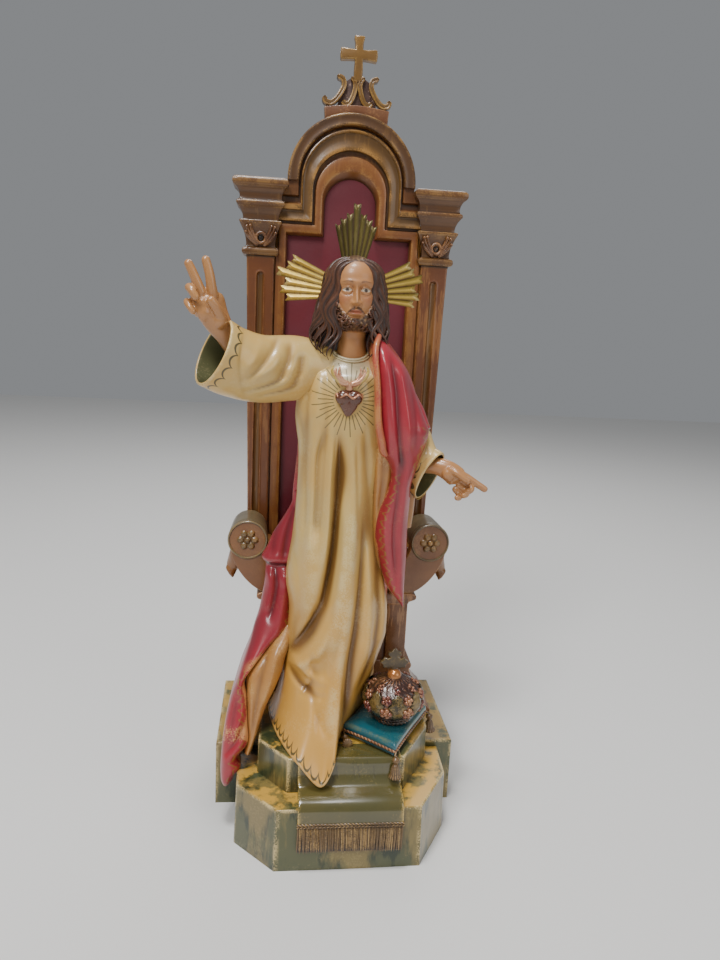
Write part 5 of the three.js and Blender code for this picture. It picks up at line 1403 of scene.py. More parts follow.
PANEL_PAINT = painted("panel_paint", (0.13, 0.008, 0.016), (0.11, 0.007, 0.016), (0.05, 0.004, 0.008),
                      (0.2, 0.05, 0.05), roughness=0.46, coat=0.15, rub=0.3, flecks=0.06, clouds=0.6)

# %% Fascia
FASCIA_BACK, FASCIA_Z = 120.7, 657
FASCIA_SECTION = [
    # radius, depth, rubbed gilding
    [56, FASCIA_BACK, 0], [56, 96, 0.7], [56.4, 94.7, 1], [57.4, 94.0, 0.9], [59, 94.2, 0.3], [62, 94.9, 0],
    [65, 94.4, 0.2], [66.8, 93.9, 0.9], [67.9, 94.6, 1], [68.3, 96, 0.7], [68.3, FASCIA_BACK, 0],
]
fascia_turn = np.linspace(-0.03, np.pi + 0.03, 90)[:, None]
fascia_radius, fascia_y, fascia_wear = np.array(FASCIA_SECTION).T
fascia_points = xyz(fascia_radius * np.cos(fascia_turn), fascia_y,
                    FASCIA_Z + fascia_radius * np.sin(fascia_turn))
fascia_part = part_of(fascia_points, FASCIA_PAINT, wear=fascia_wear + 0 * fascia_points[..., 0])
print("grid of the fascia", fascia_points.shape[:2])

# %% Pilasters
PILASTER_INNER, PILASTER_BACK, FLUTE_X, FLUTE_HALF = 80.2, 121, 94.5, 3.6


def pilaster_part(cols=46):
    """Rings in height; the front row of each ring is cut by a round-ended flute: the face lies
    2.6 sqrt(1 - (d / FLUTE_HALF)^2) deeper within d = FLUTE_HALF mm of the flute's middle line."""
    z = np.concatenate([np.linspace(SEAT_TOP, 262, 26), np.linspace(264, 280, 24), np.linspace(284, 546, 52),
                        np.linspace(548, 562, 24), np.linspace(564, 578, 6)])[:, None]
    outer = smooth_rows(PILASTER, z)[..., 1]
    x = PILASTER_INNER + (outer - PILASTER_INNER) * np.linspace(0, 1, cols)
    away = np.hypot(x - FLUTE_X, np.maximum(0, np.maximum(270 - z, z - 556)))
    flute = np.sqrt(np.clip(1 - (away / FLUTE_HALF) ** 2, 0, 1))
    edge = np.minimum(x - PILASTER_INNER, outer - x)
    y = 94.4 + 2.6 * flute - 0.35 * bell(away, 4.4, 0.8) + 1.1 * np.exp(-edge / 0.5)
    corners = ((outer, 98), (outer, PILASTER_BACK), (PILASTER_INNER, PILASTER_BACK), (PILASTER_INNER, 98))
    sides = [xyz(at + 0 * z, depth, z) for at, depth in corners]
    pad = np.zeros((len(z), len(sides)))
    rub = np.exp(-edge / 1.0) * 0.6 + 0.35 * bell(away, 4.2, 0.6) + 0.15
    return part_of(np.concatenate([xyz(x, y, z), *sides], axis=1), PILASTER_PAINT,
                   hollow=np.concatenate([flute * 0.9, pad], 1), wear=np.concatenate([rub, pad + 0.4], 1))

# %% [markdown]
# ## Capitals
# A capital is a stack of mouldings that stand out by a profile, on three sides. Between the two
# beads sit a ring with a drilled eye and leaves that curl out to both corners. A turned shape would
# be round, so each level is a rounded rectangle instead.

# %% Capitals
CAPITAL_PROFILE = np.array([
    [574, 0.2], [576, 0.4], [577, 3.4], [578.4, 4.8], [580.4, 5.2], [582.4, 4.8], [584, 3.2], [585, 0.9],
    [588, 0.6], [594, 1.4], [600, 3.2], [606, 6.0], [609.5, 8.0], [610.8, 8.3], [611.8, 7.4], [612.2, 4.6],
    [614, 4.3], [618, 5.0], [622, 6.8], [625.5, 9.4], [627, 11.0], [628.6, 11.6], [630.6, 11.0], [632, 8.4],
    [635, 7.9], [639, 8.6], [643, 10.8], [645, 13.4], [646.4, 15.0], [649, 15.8], [651.6, 15.4],
    [653.4, 13.8], [654.2, 11], [654.2, 6],
])
CAPITAL_INNER, CAPITAL_OUTER, CAPITAL_FRONT, CAPITAL_BACK = 80, 109.4, 94.5, 121.2


def capital_body(split=10):
    """Rings of the profile: x from the inner side less 0.8 out to the outer side plus out, y from
    the front less 0.6 out, with the corner rounded. Ridges of the profile are rubbed, its hollows
    dark."""
    profile = CAPITAL_PROFILE
    t = np.linspace(0, len(profile) - 1, 3 * len(profile))
    z, out = (np.interp(t, np.arange(len(profile)), column) for column in profile.T)
    bulge = np.gradient(np.gradient(out))[:, None]
    z, out = z[:, None], out[:, None]
    x0, x1, y0 = CAPITAL_INNER - 0.8 * out, CAPITAL_OUTER + out, CAPITAL_FRONT - 0.6 * out
    f = np.linspace(0, 1, split)[None]
    r = 0.8
    runs = [xyz(x0 + (x1 - r - x0) * f, y0, z), xyz(x1 - 0.3 * r, y0 + 0.3 * r, z),
            xyz(x1, y0 + r + (CAPITAL_BACK - y0 - r) * f, z), xyz(x0, CAPITAL_BACK, z)]
    points = np.concatenate(runs, 1)
    level = 0 * points[..., 0]
    return part_of(points, CAPITAL_PAINT, hollow=np.clip(bulge * 2.2, 0, 1) + level,
                   wear=0.1 + np.clip(-bulge * 3, 0, 1) + level)

# %% Leaves of a capital
def capital_leaves():
    """Ring, eye and three leaf blades to each side over the capital's face: ring and blades as tubes, the eye
    as a ball painted dark as the shade in its hole.
    """
    x, front, z = 94.7, 92.8, 594.0
    turn = round_angles(36)
    centres = xyz(x + 5.0 * np.cos(turn), front - 0.6, z + 5.4 * np.sin(turn))
    ring = ellipse_rings(centres, xyz(np.cos(turn), 0, np.sin(turn)), (0, 1, 0), 1.7, 1.9, 12)
    parts = [part_of(ring, LEAF_PAINT, wrap_rows=True, wear=0.6),
             # The drilled eye is a small ball painted fully dark, as the shade inside the hole.
             part_of(ball_rings([x, front + 1.4, z], [3.6, 1.6, 3.9]), LEAF_PAINT, hollow=1.0)]
    for side in (-1, 1):
        for reach, rise, thick in ((14.5, 14.5, 2.5), (11.0, 15.5, 2.0), (15.5, 9.0, 2.1)):
            blade = tube([[x + side * 3.0, front + 0.4, 585.5, 1.2, 1.4],
                          [x + side * (reach * 0.55), front - 0.8, 587 + rise * 0.35, 1.8, thick],
                          [x + side * reach * 0.9, front - 2.2, 589 + rise * 0.8, 1.9, thick],
                          [x + side * reach, front - 5.0, 590 + rise, 1.6, thick * 0.8],
                          [x + side * (reach + 0.6), front - 6.4, 588.5 + rise, 0.9, 0.9]],
                         14, 26, up=(0, 1, 0))
            parts.append(part_of(blade, LEAF_PAINT, wear=0.5))
    return parts

# %% Frame and panel
right_side = [pilaster_part(), capital_body(), *capital_leaves()]
both_sides = right_side + [mirrored_part(part) for part in right_side]
add_piece("throne_frame", [frame_grid(), fascia_part, *both_sides], ["throne_back_frame"],
          sharp_degrees=42)
panel_straight, panel_arc = arched(27.8, 633.5, 600.3, 66.8)
panel_outline = np.concatenate([panel_straight, panel_arc, (panel_straight * [-1, 1])[::-1]])
add_piece("throne_panel", [plate_part(panel_outline, 107, 117, PANEL_PAINT, bevel=0.3, wear=0.1)],
          ["throne_back_panel"], sharp_degrees=42)

# %% [markdown]
# ## Arms
# Each arm ends in a roll with a rosette on its round face, carried by a curved board; an outer leaf
# hangs below the roll. The left arm is the right one mirrored. The petals could be pieces of their
# own; as a height over the disc they stay one closed skin.

# %% Turned roll
def gilded(tree, colour):
    """Dull gold where the mesh says gilt."""
    return blend_colours(tree, attribute(tree, "gilt"), colour, (0.14, 0.085, 0.027))


ARM_PAINT = painted("arm_paint", (0.21, 0.08, 0.018), (0.16, 0.055, 0.012), (0.04, 0.016, 0.005),
                    (0.46, 0.24, 0.07), extra=gilded, rub=0.8, flecks=0.2, roughness=0.34)
ROLL_PAINT = painted("roll_paint", (0.15, 0.115, 0.06), (0.11, 0.08, 0.045), (0.02, 0.013, 0.008),
                     (0.26, 0.17, 0.06), rub=0.7, flecks=0.3, roughness=0.3)
ROLL_X, ROLL_Z, ROSETTE_RADIUS = 100.0, 276.5, 15
ROLL_PROFILE = [
    # depth, radius
    [94, 18], [93.6, 19.6], [70, 20.6], [50, 21.1], [47.6, 21.0], [47.0, 20.6], [46.4, 21.0], [42, 21.4],
    [40, 21.5], [38.8, 21.2], [38.2, 20.4], [38.4, 19.6], [39.6, 19.0], [46, 18.6],
]


def turned_roll(profile, relief, sides=96):
    """A solid of revolution about the roll's middle line: rings of radius r at each y of the
    profile, less the height that relief(r, bearing) gives. Returns the points and that height."""
    y, r = np.array(profile).T[..., None]
    turn = round_angles(sides)
    height = relief(r, turn)
    return xyz(ROLL_X + r * np.cos(turn), y - height, ROLL_Z + r * np.sin(turn)), height + 0 * turn


def rosette_height(r, turn):
    """Six round petals from radius 3.8 to 11.5, hollowed along their middles, and a domed button."""
    lobe = np.cos(3 * turn) ** 2
    edge = 8.0 + 3.5 * np.sqrt(lobe)
    petal = np.clip(1 - ((r - 0.5 * (edge + 3.8)) / (0.5 * (edge - 3.8))) ** 2, 0, 1) ** 0.5
    petal *= 0.3 + 0.7 * lobe ** 0.6
    button = np.sqrt(np.clip(1 - (r / 3.3) ** 2, 0, 1))
    return (2.6 * petal - 0.6 * bell(r, 7.6, 2.2) * lobe ** 4 + 3.0 * button) * (r < ROSETTE_RADIUS)

# %% Roll and rosette
roll_points, _ = turned_roll(ROLL_PROFILE, lambda r, turn: 0)
roll_y = roll_points[..., 1]
roll_part = part_of(roll_points, ROLL_PAINT, wear=0.2 + 0.8 * bell(roll_y, 39, 1.2),
                    hollow=0.8 * bell(roll_y, 44.5, 2.4))
disc_profile = [[42, 18.9]] + [[39.6, r] for r in np.linspace(18.9, 0.3, 44)]
disc_points, disc_height = turned_roll(disc_profile, rosette_height, 126)
# The ground between the petals is painted a little darker, as shade.
petal_ground_shade = (np.array(disc_profile)[:, 1:] < ROSETTE_RADIUS) & (disc_height < 0.3)
flower = smooth_step((disc_height - 0.15) / 0.4)
disc_part = part_of(disc_points, ARM_PAINT, gilt=flower, wear=0.3 + 0.5 * flower * (disc_height / 3) ** 2,
                    hollow=0.12 * petal_ground_shade)


def bezier(points, count=24):
    """A cubic curve p(t) = (1-t)^3 p0 + 3 (1-t)^2 t p1 + 3 (1-t) t^2 p2 + t^3 p3."""
    p0, p1, p2, p3 = (np.array(p, float) for p in points)
    t = np.linspace(0, 1, count)[:, None]
    return (1 - t) ** 3 * p0 + 3 * (1 - t) ** 2 * t * p1 + 3 * (1 - t) * t ** 2 * p2 + t ** 3 * p3


print("the rosette stands out", round(float(disc_height.max()), 2), "mm")

# %% Both arms
ARM_FOOT = SEAT_TOP + 0.3
WALL_FRONT, WALL_BACK = 50, 93.8
board_outline = np.concatenate([
    bezier([(ROLL_X + 18.5, ROLL_Z - 9), (ROLL_X + 17, 250), (ROLL_X + 2, 226), (83, ARM_FOOT)]),
    [[57.2, ARM_FOOT], [60, 236]],
    bezier([(60, 236), (65, 250), (78, 256), (ROLL_X - 20.5, ROLL_Z)])[1:],
])
leaf = tube([[ROLL_X + 12, 55, 268, 10, 4.6], [ROLL_X + 15.6, 55, 255, 9.8, 5.0],
             [ROLL_X + 16.8, 54.5, 242, 7.6, 4.2], [ROLL_X + 16.6, 54, 233, 4.0, 2.6],
             [ROLL_X + 16.2, 54, 229, 1.2, 1.0]], 28, 44)
arm_parts = [
    roll_part, disc_part, part_of(leaf, ARM_PAINT, wear=0.25),
    plate_part(board_outline, 40, 52, ARM_PAINT, bevel=1.2, wear=0.25),
    plate_part([[63, ARM_FOOT], [80, ARM_FOOT], [80, 268], [63, 262]], WALL_FRONT, WALL_BACK, ARM_PAINT,
               bevel=0.6),
    plate_part([[76, 252], [94, 252], [94, 268], [76, 268]], WALL_FRONT, WALL_BACK, ARM_PAINT, bevel=0.6),
]
add_piece("arm_right", arm_parts, ["throne_arm_right"], sharp_degrees=46)
add_piece("arm_left", [mirrored_part(part) for part in arm_parts], ["throne_arm_left"],
          sharp_degrees=46)

# %% [markdown]
# ## Throne body and slab
# The body below the seat: two posts with a sunk board between them, a moulded seat edge and a foot
# that flares down to the slab. Flat boards need no grid: an outline with a rounded edge is enough.

# %% Throne body
SEAT_SIDE = np.concatenate([
    [[114, 71.6], [114, 75]], bezier([(114, 75), (103, 84), (95, 96), (90, 115)], 18)[1:],
    [[86.5, 124], [86.4, 126]],
    [[87 + 1.6 * math.sin(a), 129.5 - 3 * math.cos(a)] for a in np.linspace(0.3, 2.9, 9)],
    [[85, 134], [80.4, 135], [80, 137], [80, 204], [81, 206.5]],
    [[86 + 3.2 * math.sin(a), 212 - 3.6 * math.cos(a)] for a in np.linspace(0.1, 3.0, 12)],
    [[84, 216.9]],
])
FOOT_POINTS, EDGE_POINTS, RAISED_FRONT, RAISED_BACK = 33, 15, 40.4, 46
POST_PAINT = painted("post_paint", (0.17, 0.06, 0.014), (0.12, 0.04, 0.01), (0.02, 0.008, 0.003),
                     (0.5, 0.25, 0.1), rub=0.9, streaks=0.6, roughness=0.36)
post = plate_part([[57, 137], [79.6, 137], [79.6, 205], [57, 205]], 40.2, RAISED_BACK, POST_PAINT, bevel=1.2)
seat_parts = [
    plate_part(both_halves(SEAT_SIDE), 44, 121, POST_PAINT, bevel=0.9), post, mirrored_part(post),
    plate_part(both_halves(SEAT_SIDE[-EDGE_POINTS:]), RAISED_FRONT, RAISED_BACK, POST_PAINT, bevel=1.6),
    plate_part(both_halves(SEAT_SIDE[:FOOT_POINTS]), RAISED_FRONT, RAISED_BACK, POST_PAINT, bevel=1.2),
]
add_piece("throne_body", seat_parts, ["throne_seat_box"], sharp_degrees=42)

# %% [markdown]
# ## Slab and steps
# The slab and the two canted steps are boards painted as green marble. Their upright faces carry
# cloudy veins that run downwards, their tops are ochre, and every edge is rubbed pale. Bevelled
# cubes would do, but the wear has to know how near each point is to an edge, so the blocks are
# rings of their plan.

# %% Marble
def marble_pattern(tree, colour):
    """Ochre patches and dark green veins, both stretched downwards, and ochre on the tops."""
    colour = blend_colours(tree, times(tree, mask(tree, VEINS), 0.9), colour, (0.014, 0.026, 0.01))
    colour = blend_colours(tree, times(tree, mask(tree, DRIPS), 0.55), colour, (0.36, 0.25, 0.07))
    stained = times(tree, attribute(tree, "top"), minus(tree, 1.0, mask(tree, STAINS), clamp=True))
    return blend_colours(tree, stained, colour, (0.56, 0.32, 0.05))


DRIPS = mask_group("drips", (15, 34), 0.48, 0.56, (1.0, 1.0, 0.2))
STAINS = mask_group("stains", (24, 60), 0.46, 0.54)
MARBLE = painted("marble_paint", (0.085, 0.088, 0.03), (0.055, 0.066, 0.024), (0.02, 0.025, 0.01),
                 (0.66, 0.5, 0.22), extra=marble_pattern, rub=0.9, flecks=0.1, roughness=0.3, coat=0.6)
LOWER_PLAN = np.array([[-103.5, -17.8], [-102, -80.1], [-62.8, -121.4], [74.9, -119.8], [108.6, -64.6],
                       [110.5, -17.8]], float)
UPPER_PLAN = np.array([[-80, 39.4], [-81.8, -58.8], [-52.7, -94.4], [60.3, -92.3], [93, -36.4], [96, 39.4]],
                      float)
SLAB_PLAN = np.array([[-126.6, 121.4], [-126.6, -17.5], [126.6, -17.5], [126.6, 121.4]], float)
EDGE_MM = 1.2

# %% Canted blocks
def stepped_block(plan, low, high, spread, top=1.0, split=26, chips=0.5):
    """A canted block: rings of the plan from low to high, the foot wider by spread, the upper edge
    rounded over EDGE_MM, the top closed by rings shrinking to the middle. Edges are marked as worn
    and the top as ochre; seeded dents of up to chips mm break the straight edges."""
    f = np.linspace(0, 1, split, endpoint=False)
    sides = np.roll(plan, -1, 0) - plan
    ring = (plan[:, None] + sides[:, None] * f[:, None]).reshape(-1, 2)
    corner = (np.minimum(f, 1 - f) * np.linalg.norm(sides, axis=1)[:, None]).ravel()
    middle = plan.mean(0)
    out = unit(ring - middle)
    wobble = np.random.default_rng(int(high)).normal(0, 1, len(ring))
    wobble = np.convolve(np.tile(wobble, 3), np.ones(5) / 5, "same")[len(ring):2 * len(ring)]
    rows = []

    def row(flat, z, wear, ochre):
        """One ring [x, y], its height, wear and share of ochre."""
        rows.append(np.column_stack([flat] + [v + 0 * corner for v in (z, wear, ochre)]))

    for t in np.linspace(0, 1, 26):
        row(ring + out * spread * (1 - t), low + (high - EDGE_MM - low) * t,
            0.95 * np.exp(-corner / 1.3) + 0.9 * np.exp(-(1 - t) * (high - low) / 1.5) + 0.05, 0)
    for a in (0.5, 1.0, math.pi / 2):
        inset = EDGE_MM * (1 - math.cos(a)) + chips * np.maximum(0, wobble) * math.sin(a)
        row(ring - out * inset[:, None], high - EDGE_MM * (1 - math.sin(a)), 1.0, 0.5 * top)
    for shrink in (0.985, 0.96, 0.9, 0.8, 0.65, 0.4, 0.15):
        row(middle + (ring - middle) * shrink, high, 0.6 if shrink > 0.98 else 0.1, top)
    rows = np.array(rows)
    return part_of(rows[..., :3], MARBLE, wear=rows[..., 3], top=rows[..., 4])

# %% [markdown]
# ## The cloth over the steps
# A narrow cloth is carved over the front: it lies on the upper step, falls over the edge of the
# lower one, and ends in a cord and a fringe. Its faded marks are kept as rows of short strokes. It
# is carved and lies flat, so a profile swept sideways suits it better than a cloth simulation.

# %% Cloth
CLOTH_LEFT, CLOTH_RIGHT, CORD_Z, STRANDS = -43.0, 57.0, 50.0, 66
CLOTH_PAINT = painted("cloth_paint", (0.095, 0.078, 0.022), (0.07, 0.064, 0.019), (0.025, 0.02, 0.008),
                      (0.6, 0.4, 0.1), rub=0.9, flecks=0.1, roughness=0.14, coat=1.0, bump=0.1)
FRINGE_PAINT = painted("fringe_paint", (0.14, 0.074, 0.02), (0.09, 0.047, 0.013), (0.03, 0.015, 0.006),
                       (0.45, 0.28, 0.1), rub=0.8, flecks=0.2, roughness=0.42)
CLOTH_FALL = np.array([
    # y, z from the upper step to the cord
    [-70, 99.9], [-88, 100.1], [-94.4, 99.4], [-96.2, 96.5], [-97, 90], [-99, 82], [-103, 76.8], [-110, 74.0],
    [-117, 71.8], [-121.8, 68.8], [-124.6, 64], [-125.6, 57], [-125.8, 48],
])
STROKES = [
    # lowest and highest height, pitch, slant, first and last x
    (80, 93, 7.3, 0.16, -12, 40), (93.5, 97.5, 5.2, -0.5, 2, 26),
]
CLOTH_MM, CLOTH_BACK = 3, -91.0


def cloth_on_steps(rows=130, cols=80):
    """A sheet swept along X over the fall, CLOTH_MM thick, and solid back to the upper step's face
    where it hangs free of the steps. Strokes: short dents where the height lies in a band and a
    slanted wave of x is high."""
    run = run_along(CLOTH_FALL)
    fall = smooth_rows(np.column_stack([run, CLOTH_FALL]), np.linspace(0, run[-1], cols))[:, 1:]
    ahead = unit(np.gradient(fall, axis=0))
    out_y, out_z = np.array([ahead[:, 1], -ahead[:, 0]]) * -np.sign(ahead[-1, 1])
    x = np.linspace(CLOTH_LEFT, CLOTH_RIGHT, rows)[:, None]
    y, z = fall.T
    z = z + 0 * x
    dents = 0 * z
    for low, high, pitch, slant, first, last in STROKES:
        band = smooth_step((z - low) / 1.2) * smooth_step((high - z) / 1.2) * (z < 98.5)
        span = smooth_step((x - first) / 2) * smooth_step((last - x) / 2)
        phase = (x + slant * (z - low)) / pitch
        broken = 0.5 + 0.5 * np.sin(2.1 * np.floor(phase) + low)
        off = np.abs((phase + 0.25 * np.sin(3.7 * np.floor(phase))) % 1 - 0.5) * pitch
        dents = np.maximum(dents, band * span * smooth_step((off - 0.6) / -0.5 + 1) * (0.4 + 0.6 * broken))
    edge = np.minimum(x - CLOTH_LEFT, CLOTH_RIGHT - x)
    lift = (-0.35 * dents - 0.8 * np.exp(-edge / 0.7)
            + 0.5 * np.sin(x / 17.0) * smooth_step((z - 52) / 10) * (z < 96))
    sunk = (z > 55) & (z < 98.5)
    outer = xyz(x, y + out_y * lift, z + out_z * lift)
    inner = xyz(x, np.where(sunk, CLOTH_BACK, y - out_y * CLOTH_MM), z - np.where(sunk, 0, out_z * CLOTH_MM))
    pad = 0 * dents
    return part_of(np.concatenate([outer, inner[:, ::-1]], 1), CLOTH_PAINT,
                   hollow=np.concatenate([dents * 0.45, pad], 1),
                   wear=np.concatenate([np.exp(-edge / 1.8) + 0.1 + pad, pad], 1))

# %% Cord and fringe
def twisted(path, radius, pitch, material, sides=12):
    """A two-ply cord: a tube whose radius swells twice per turn, the swelling turning once in each
    pitch along the path."""
    ply = np.cos(2 * round_angles(sides) + 2 * np.pi * run_along(path)[:, None] / pitch)
    r = radius * (1 + 0.2 * ply)
    points = ellipse_rings(path, *path_frame(path, (0.02, 0.01, 1)), r, r, sides)
    return part_of(points, material, wear=np.clip(ply, 0, 1), hollow=np.clip(-ply, 0, 1) * 0.9)


cord_x = np.linspace(CLOTH_LEFT - 0.6, CLOTH_RIGHT + 0.6, 240)
fringe_parts = [twisted(xyz(cord_x, -126.0, CORD_Z + lift), radius, pitch, FRINGE_PAINT)
                for lift, radius, pitch in ((1.1, 0.95, 3.6), (-1.3, 0.9, -3.6))]
# Behind the strands a plate painted almost black stands for the shade between them.
fringe_parts.append(plate_part([[CLOTH_LEFT, 21], [CLOTH_RIGHT, 21], [CLOTH_RIGHT, 52], [CLOTH_LEFT, 52]],
                               -124.2, -119, FRINGE_PAINT, bevel=0.4, wear=0.1, hollow=0.9))
for x0 in np.linspace(CLOTH_LEFT + 0.8, CLOTH_RIGHT - 0.8, STRANDS):
    lean, low = random.uniform(-0.9, 0.9), 20 + random.uniform(0, 1.6)
    strand = tube([[x0, -125.0, CORD_Z - 2, 0.8, 0.9],
                   [x0 + 0.3 * lean, -125.4 - random.uniform(0, 0.5), 38, 0.85, 1.0],
                   [x0 + lean, -125.3, low, 0.8, 0.8]], 7, 8, up=(0, 1, 0))
    fringe_parts.append(part_of(strand, FRINGE_PAINT, wear=random.uniform(0.1, 0.9),
                                hollow=random.uniform(0, 0.4)))
print(STRANDS, "strands in the fringe")

# %% Steps and slab
steps_parts = [
    stepped_block(LOWER_PLAN, 0.0, 63.9, 1.5),
    stepped_block(np.minimum(UPPER_PLAN, [200, -17.9]), 63.0, 85.0, 0.7, top=0.0, chips=0.0),
    stepped_block(UPPER_PLAN, 71.6, 99.4, 0.4),
    cloth_on_steps(), *fringe_parts,
]
add_piece("steps", steps_parts, ["stepped_pedestal"], sharp_degrees=46)
add_piece("slab", [stepped_block(SLAB_PLAN, 0.0, 71.2, 0.0, top=0.7, split=60)],
          ["throne_slab"], sharp_degrees=46)

# %% [markdown]
# ## Cushion
# A small boxed cushion with a corded seam half way up, lying askew on the upper step, and a tassel
# at each corner; the rear and left ones lie on the step. A cube blown up by a cloth simulation
# would be rounder; rings from a table keep the boxed form.

# %% Cushion
CUSHION_PAINT = painted("cushion_paint", (0.012, 0.1, 0.13), (0.02, 0.115, 0.11), (0.004, 0.03, 0.06),
                        (0.16, 0.17, 0.06), rub=0.5, flecks=0.3, roughness=0.22, coat=0.8, bump=0.15)
CORD_PAINT = painted("cord_paint", (0.3, 0.12, 0.045), (0.2, 0.08, 0.03), (0.025, 0.012, 0.01),
                     (0.45, 0.24, 0.1), rub=0.8, roughness=0.4)
TASSEL_PAINT = painted("tassel_paint", (0.16, 0.085, 0.03), (0.11, 0.06, 0.022), (0.02, 0.01, 0.006),
                       (0.42, 0.27, 0.11), rub=0.9, flecks=0.2, roughness=0.36)

# %% Form of the cushion
CUSHION = np.array([[2, -54], [50, -97], [96, -19], [48, 24]], float)
SEAM_Z = 106.5
CUSHION_RINGS = [
    # share of the seam's size, height
    (0.9, 99.9), (0.95, 100.3), (0.985, 102), (0.995, 104), (0.985, 105.8), (0.975, 106.4), (0.985, 107.0),
    (1.0, 108.2), (1.0, 110.0), (0.99, 111.8), (0.972, 113.0), (0.94, 113.8), (0.88, 114.3), (0.7, 114.8),
    (0.4, 115.1), (0.15, 115.2),
]


def cushion_seam(count=72):
    """The four sides, each drawn in by 2.5 % at its middle, with corners rounded by averaging."""
    f = np.linspace(0, 1, count, endpoint=False)[:, None]
    middle = CUSHION.mean(0)
    sides = CUSHION[:, None] + (np.roll(CUSHION, -1, 0) - CUSHION)[:, None] * f
    ring = (middle + (sides - middle) * (1 - 0.025 * np.sin(np.pi * f))).reshape(-1, 2)
    return np.mean([np.roll(ring, k, 0) for k in range(-2, 3)], axis=0)


seam = cushion_seam()
seam_middle = seam.mean(0)
scale, ring_z = np.array(CUSHION_RINGS).T[..., None]
cushion_points = xyz(*(seam_middle + (seam - seam_middle) * scale[..., None]).transpose(2, 0, 1), ring_z)
level = 0 * cushion_points[..., 0]
cushion_wear = np.where((ring_z > 111) & (ring_z < 114), 0.7, 0.12) + level
# Painted shade: dark in the band round the seam under the cord, half as dark over the lower side.
cushion_painted_shade = np.where((ring_z > 105) & (ring_z < 107.5), 0.9, np.where(ring_z < 105, 0.5, 0)) + level
cord_path = np.column_stack([seam_middle + (seam - seam_middle) * 0.992, np.full(len(seam), SEAM_Z)])
cushion_parts = [part_of(cushion_points, CUSHION_PAINT, wear=cushion_wear, hollow=cushion_painted_shade),
                 twisted(np.concatenate([cord_path, cord_path[:1]]), 1.35, 4.2, CORD_PAINT)]
print("seam of the cushion", round(float(run_along(seam)[-1])), "mm round")

# %% Tassels
TASSEL_FORM = [
    # share of the length, radius
    [0, 1.2], [0.06, 3.0], [0.16, 3.7], [0.27, 2.6], [0.31, 2.0], [0.36, 2.8], [0.5, 3.7], [0.75, 4.5],
    [0.97, 4.9], [1.0, 3.6],
]


def tassel(root, top, tip, size=1.0):
    """A cord from the seam, a round knot, a tight neck and a skirt of strands that widens."""
    root, top, tip = (np.array(p, float) for p in (root, top, tip))
    cord = twisted(np.linspace(root, top, 10), 1.1 * size, 3.5, TASSEL_PAINT)
    t = np.linspace(0, 1, 44)[:, None]
    path = top + (tip - top) * t
    strands = np.cos(14 * round_angles(56)) * smooth_step((t - 0.34) / 0.1)
    r = smooth_rows(TASSEL_FORM, t)[..., 1] * size * (1 + 0.07 * strands)
    body = ellipse_rings(path, *path_frame(path, (0.3, 1, 0.2)), r, r, 56)
    return [cord, part_of(body, TASSEL_PAINT, wear=np.clip(strands, 0, 1) * 0.8 + 0.15,
                          hollow=np.clip(-strands, 0, 1))]


cushion_parts += tassel([50, -96, 106], [50.5, -99.5, 103], [50.5, -101, 81])
cushion_parts += tassel([95, -19, 106], [99.5, -19, 103], [101, -19, 82])
cushion_parts += tassel([4, -55, 105], [4, -62, 103.2], [6, -77, 103.6], 0.85)
cushion_parts += tassel([48, 22, 105], [54, 29, 103.2], [64, 34, 103.6], 0.8)
add_piece("cushion_soft", cushion_parts, ["cushion"])

# %% [markdown]
# ## The crown
# A closed crown: a low bowl, a swelling body of eight lobes with a leaf over each, rosettes on
# three levels between and over them, an orb on top and a flat leafy cross. One function gives any
# point of the body, so that leaves and rosettes lie on it however it swells.

# %% Crown
CROWN_PAINT = painted("crown_body", (0.05, 0.02, 0.014), (0.035, 0.028, 0.01), (0.01, 0.006, 0.004),
                      (0.42, 0.19, 0.08), rub=0.6, flecks=0.3, roughness=0.26, metallic=0.3, coat=0.6,
                      bump=0.9, bump_scale=520.0)
CROWN_LEAF = painted("crown_leaf", (0.032, 0.026, 0.008), (0.06, 0.03, 0.014), (0.009, 0.007, 0.004),
                     (0.34, 0.22, 0.07), rub=0.6, flecks=0.25, roughness=0.26, metallic=0.3, bump=0.8,
                     bump_scale=520.0)
CROWN_ROSE = painted("crown_rose", (0.15, 0.035, 0.03), (0.1, 0.026, 0.022), (0.018, 0.008, 0.006),
                     (0.55, 0.28, 0.12), rub=0.9, flecks=0.5, roughness=0.26, metallic=0.3)
ORB_PAINT = painted("orb_paint", (0.45, 0.16, 0.04), (0.34, 0.11, 0.03), (0.05, 0.015, 0.006),
                    (0.8, 0.5, 0.2), rub=0.8, flecks=0.3, roughness=0.2, metallic=0.55)
CROSS_PAINT = painted("cross_paint", (0.05, 0.03, 0.01), (0.04, 0.03, 0.01), (0.012, 0.009, 0.004),
                      (0.26, 0.17, 0.05), rub=0.7, flecks=0.2, roughness=0.36)

# %% Body, leaves and rosettes of the crown
CROWN_X, CROWN_Y, CROWN_Z, CROWN_HEIGHT, LOBES = 53.4, -47.0, 114.7, 47.5, 8
CROWN_FORM = [[0, 13.5], [1, 17.0], [3.5, 18.8], [6, 18.4], [7.5, 19.6], [10, 22.2], [14, 25.8], [20, 28.8],
              [25, 29.6], [30, 29.2], [35, 27.2], [40, 22.6], [44, 16.0], [46.5, 9.5], [CROWN_HEIGHT, 4.0]]
ROSETTES = ((19.5, np.pi / LOBES, 1.0), (33.0, np.pi / LOBES, 0.8), (41.0, 0.0, 0.6))


def crown_point(height, bearing, out=0.0):
    """A point of the crown's body: radius from the profile, swollen 2 % over each of its lobes."""
    radius = smooth_rows(CROWN_FORM, height)[..., 1]
    swell = 1 + 0.02 * np.cos(LOBES * (bearing + np.pi / 2)) * np.sin(np.pi * height / 48)
    reach = radius * swell + out
    return xyz(CROWN_X + reach * np.cos(bearing), CROWN_Y + reach * np.sin(bearing), CROWN_Z + height)


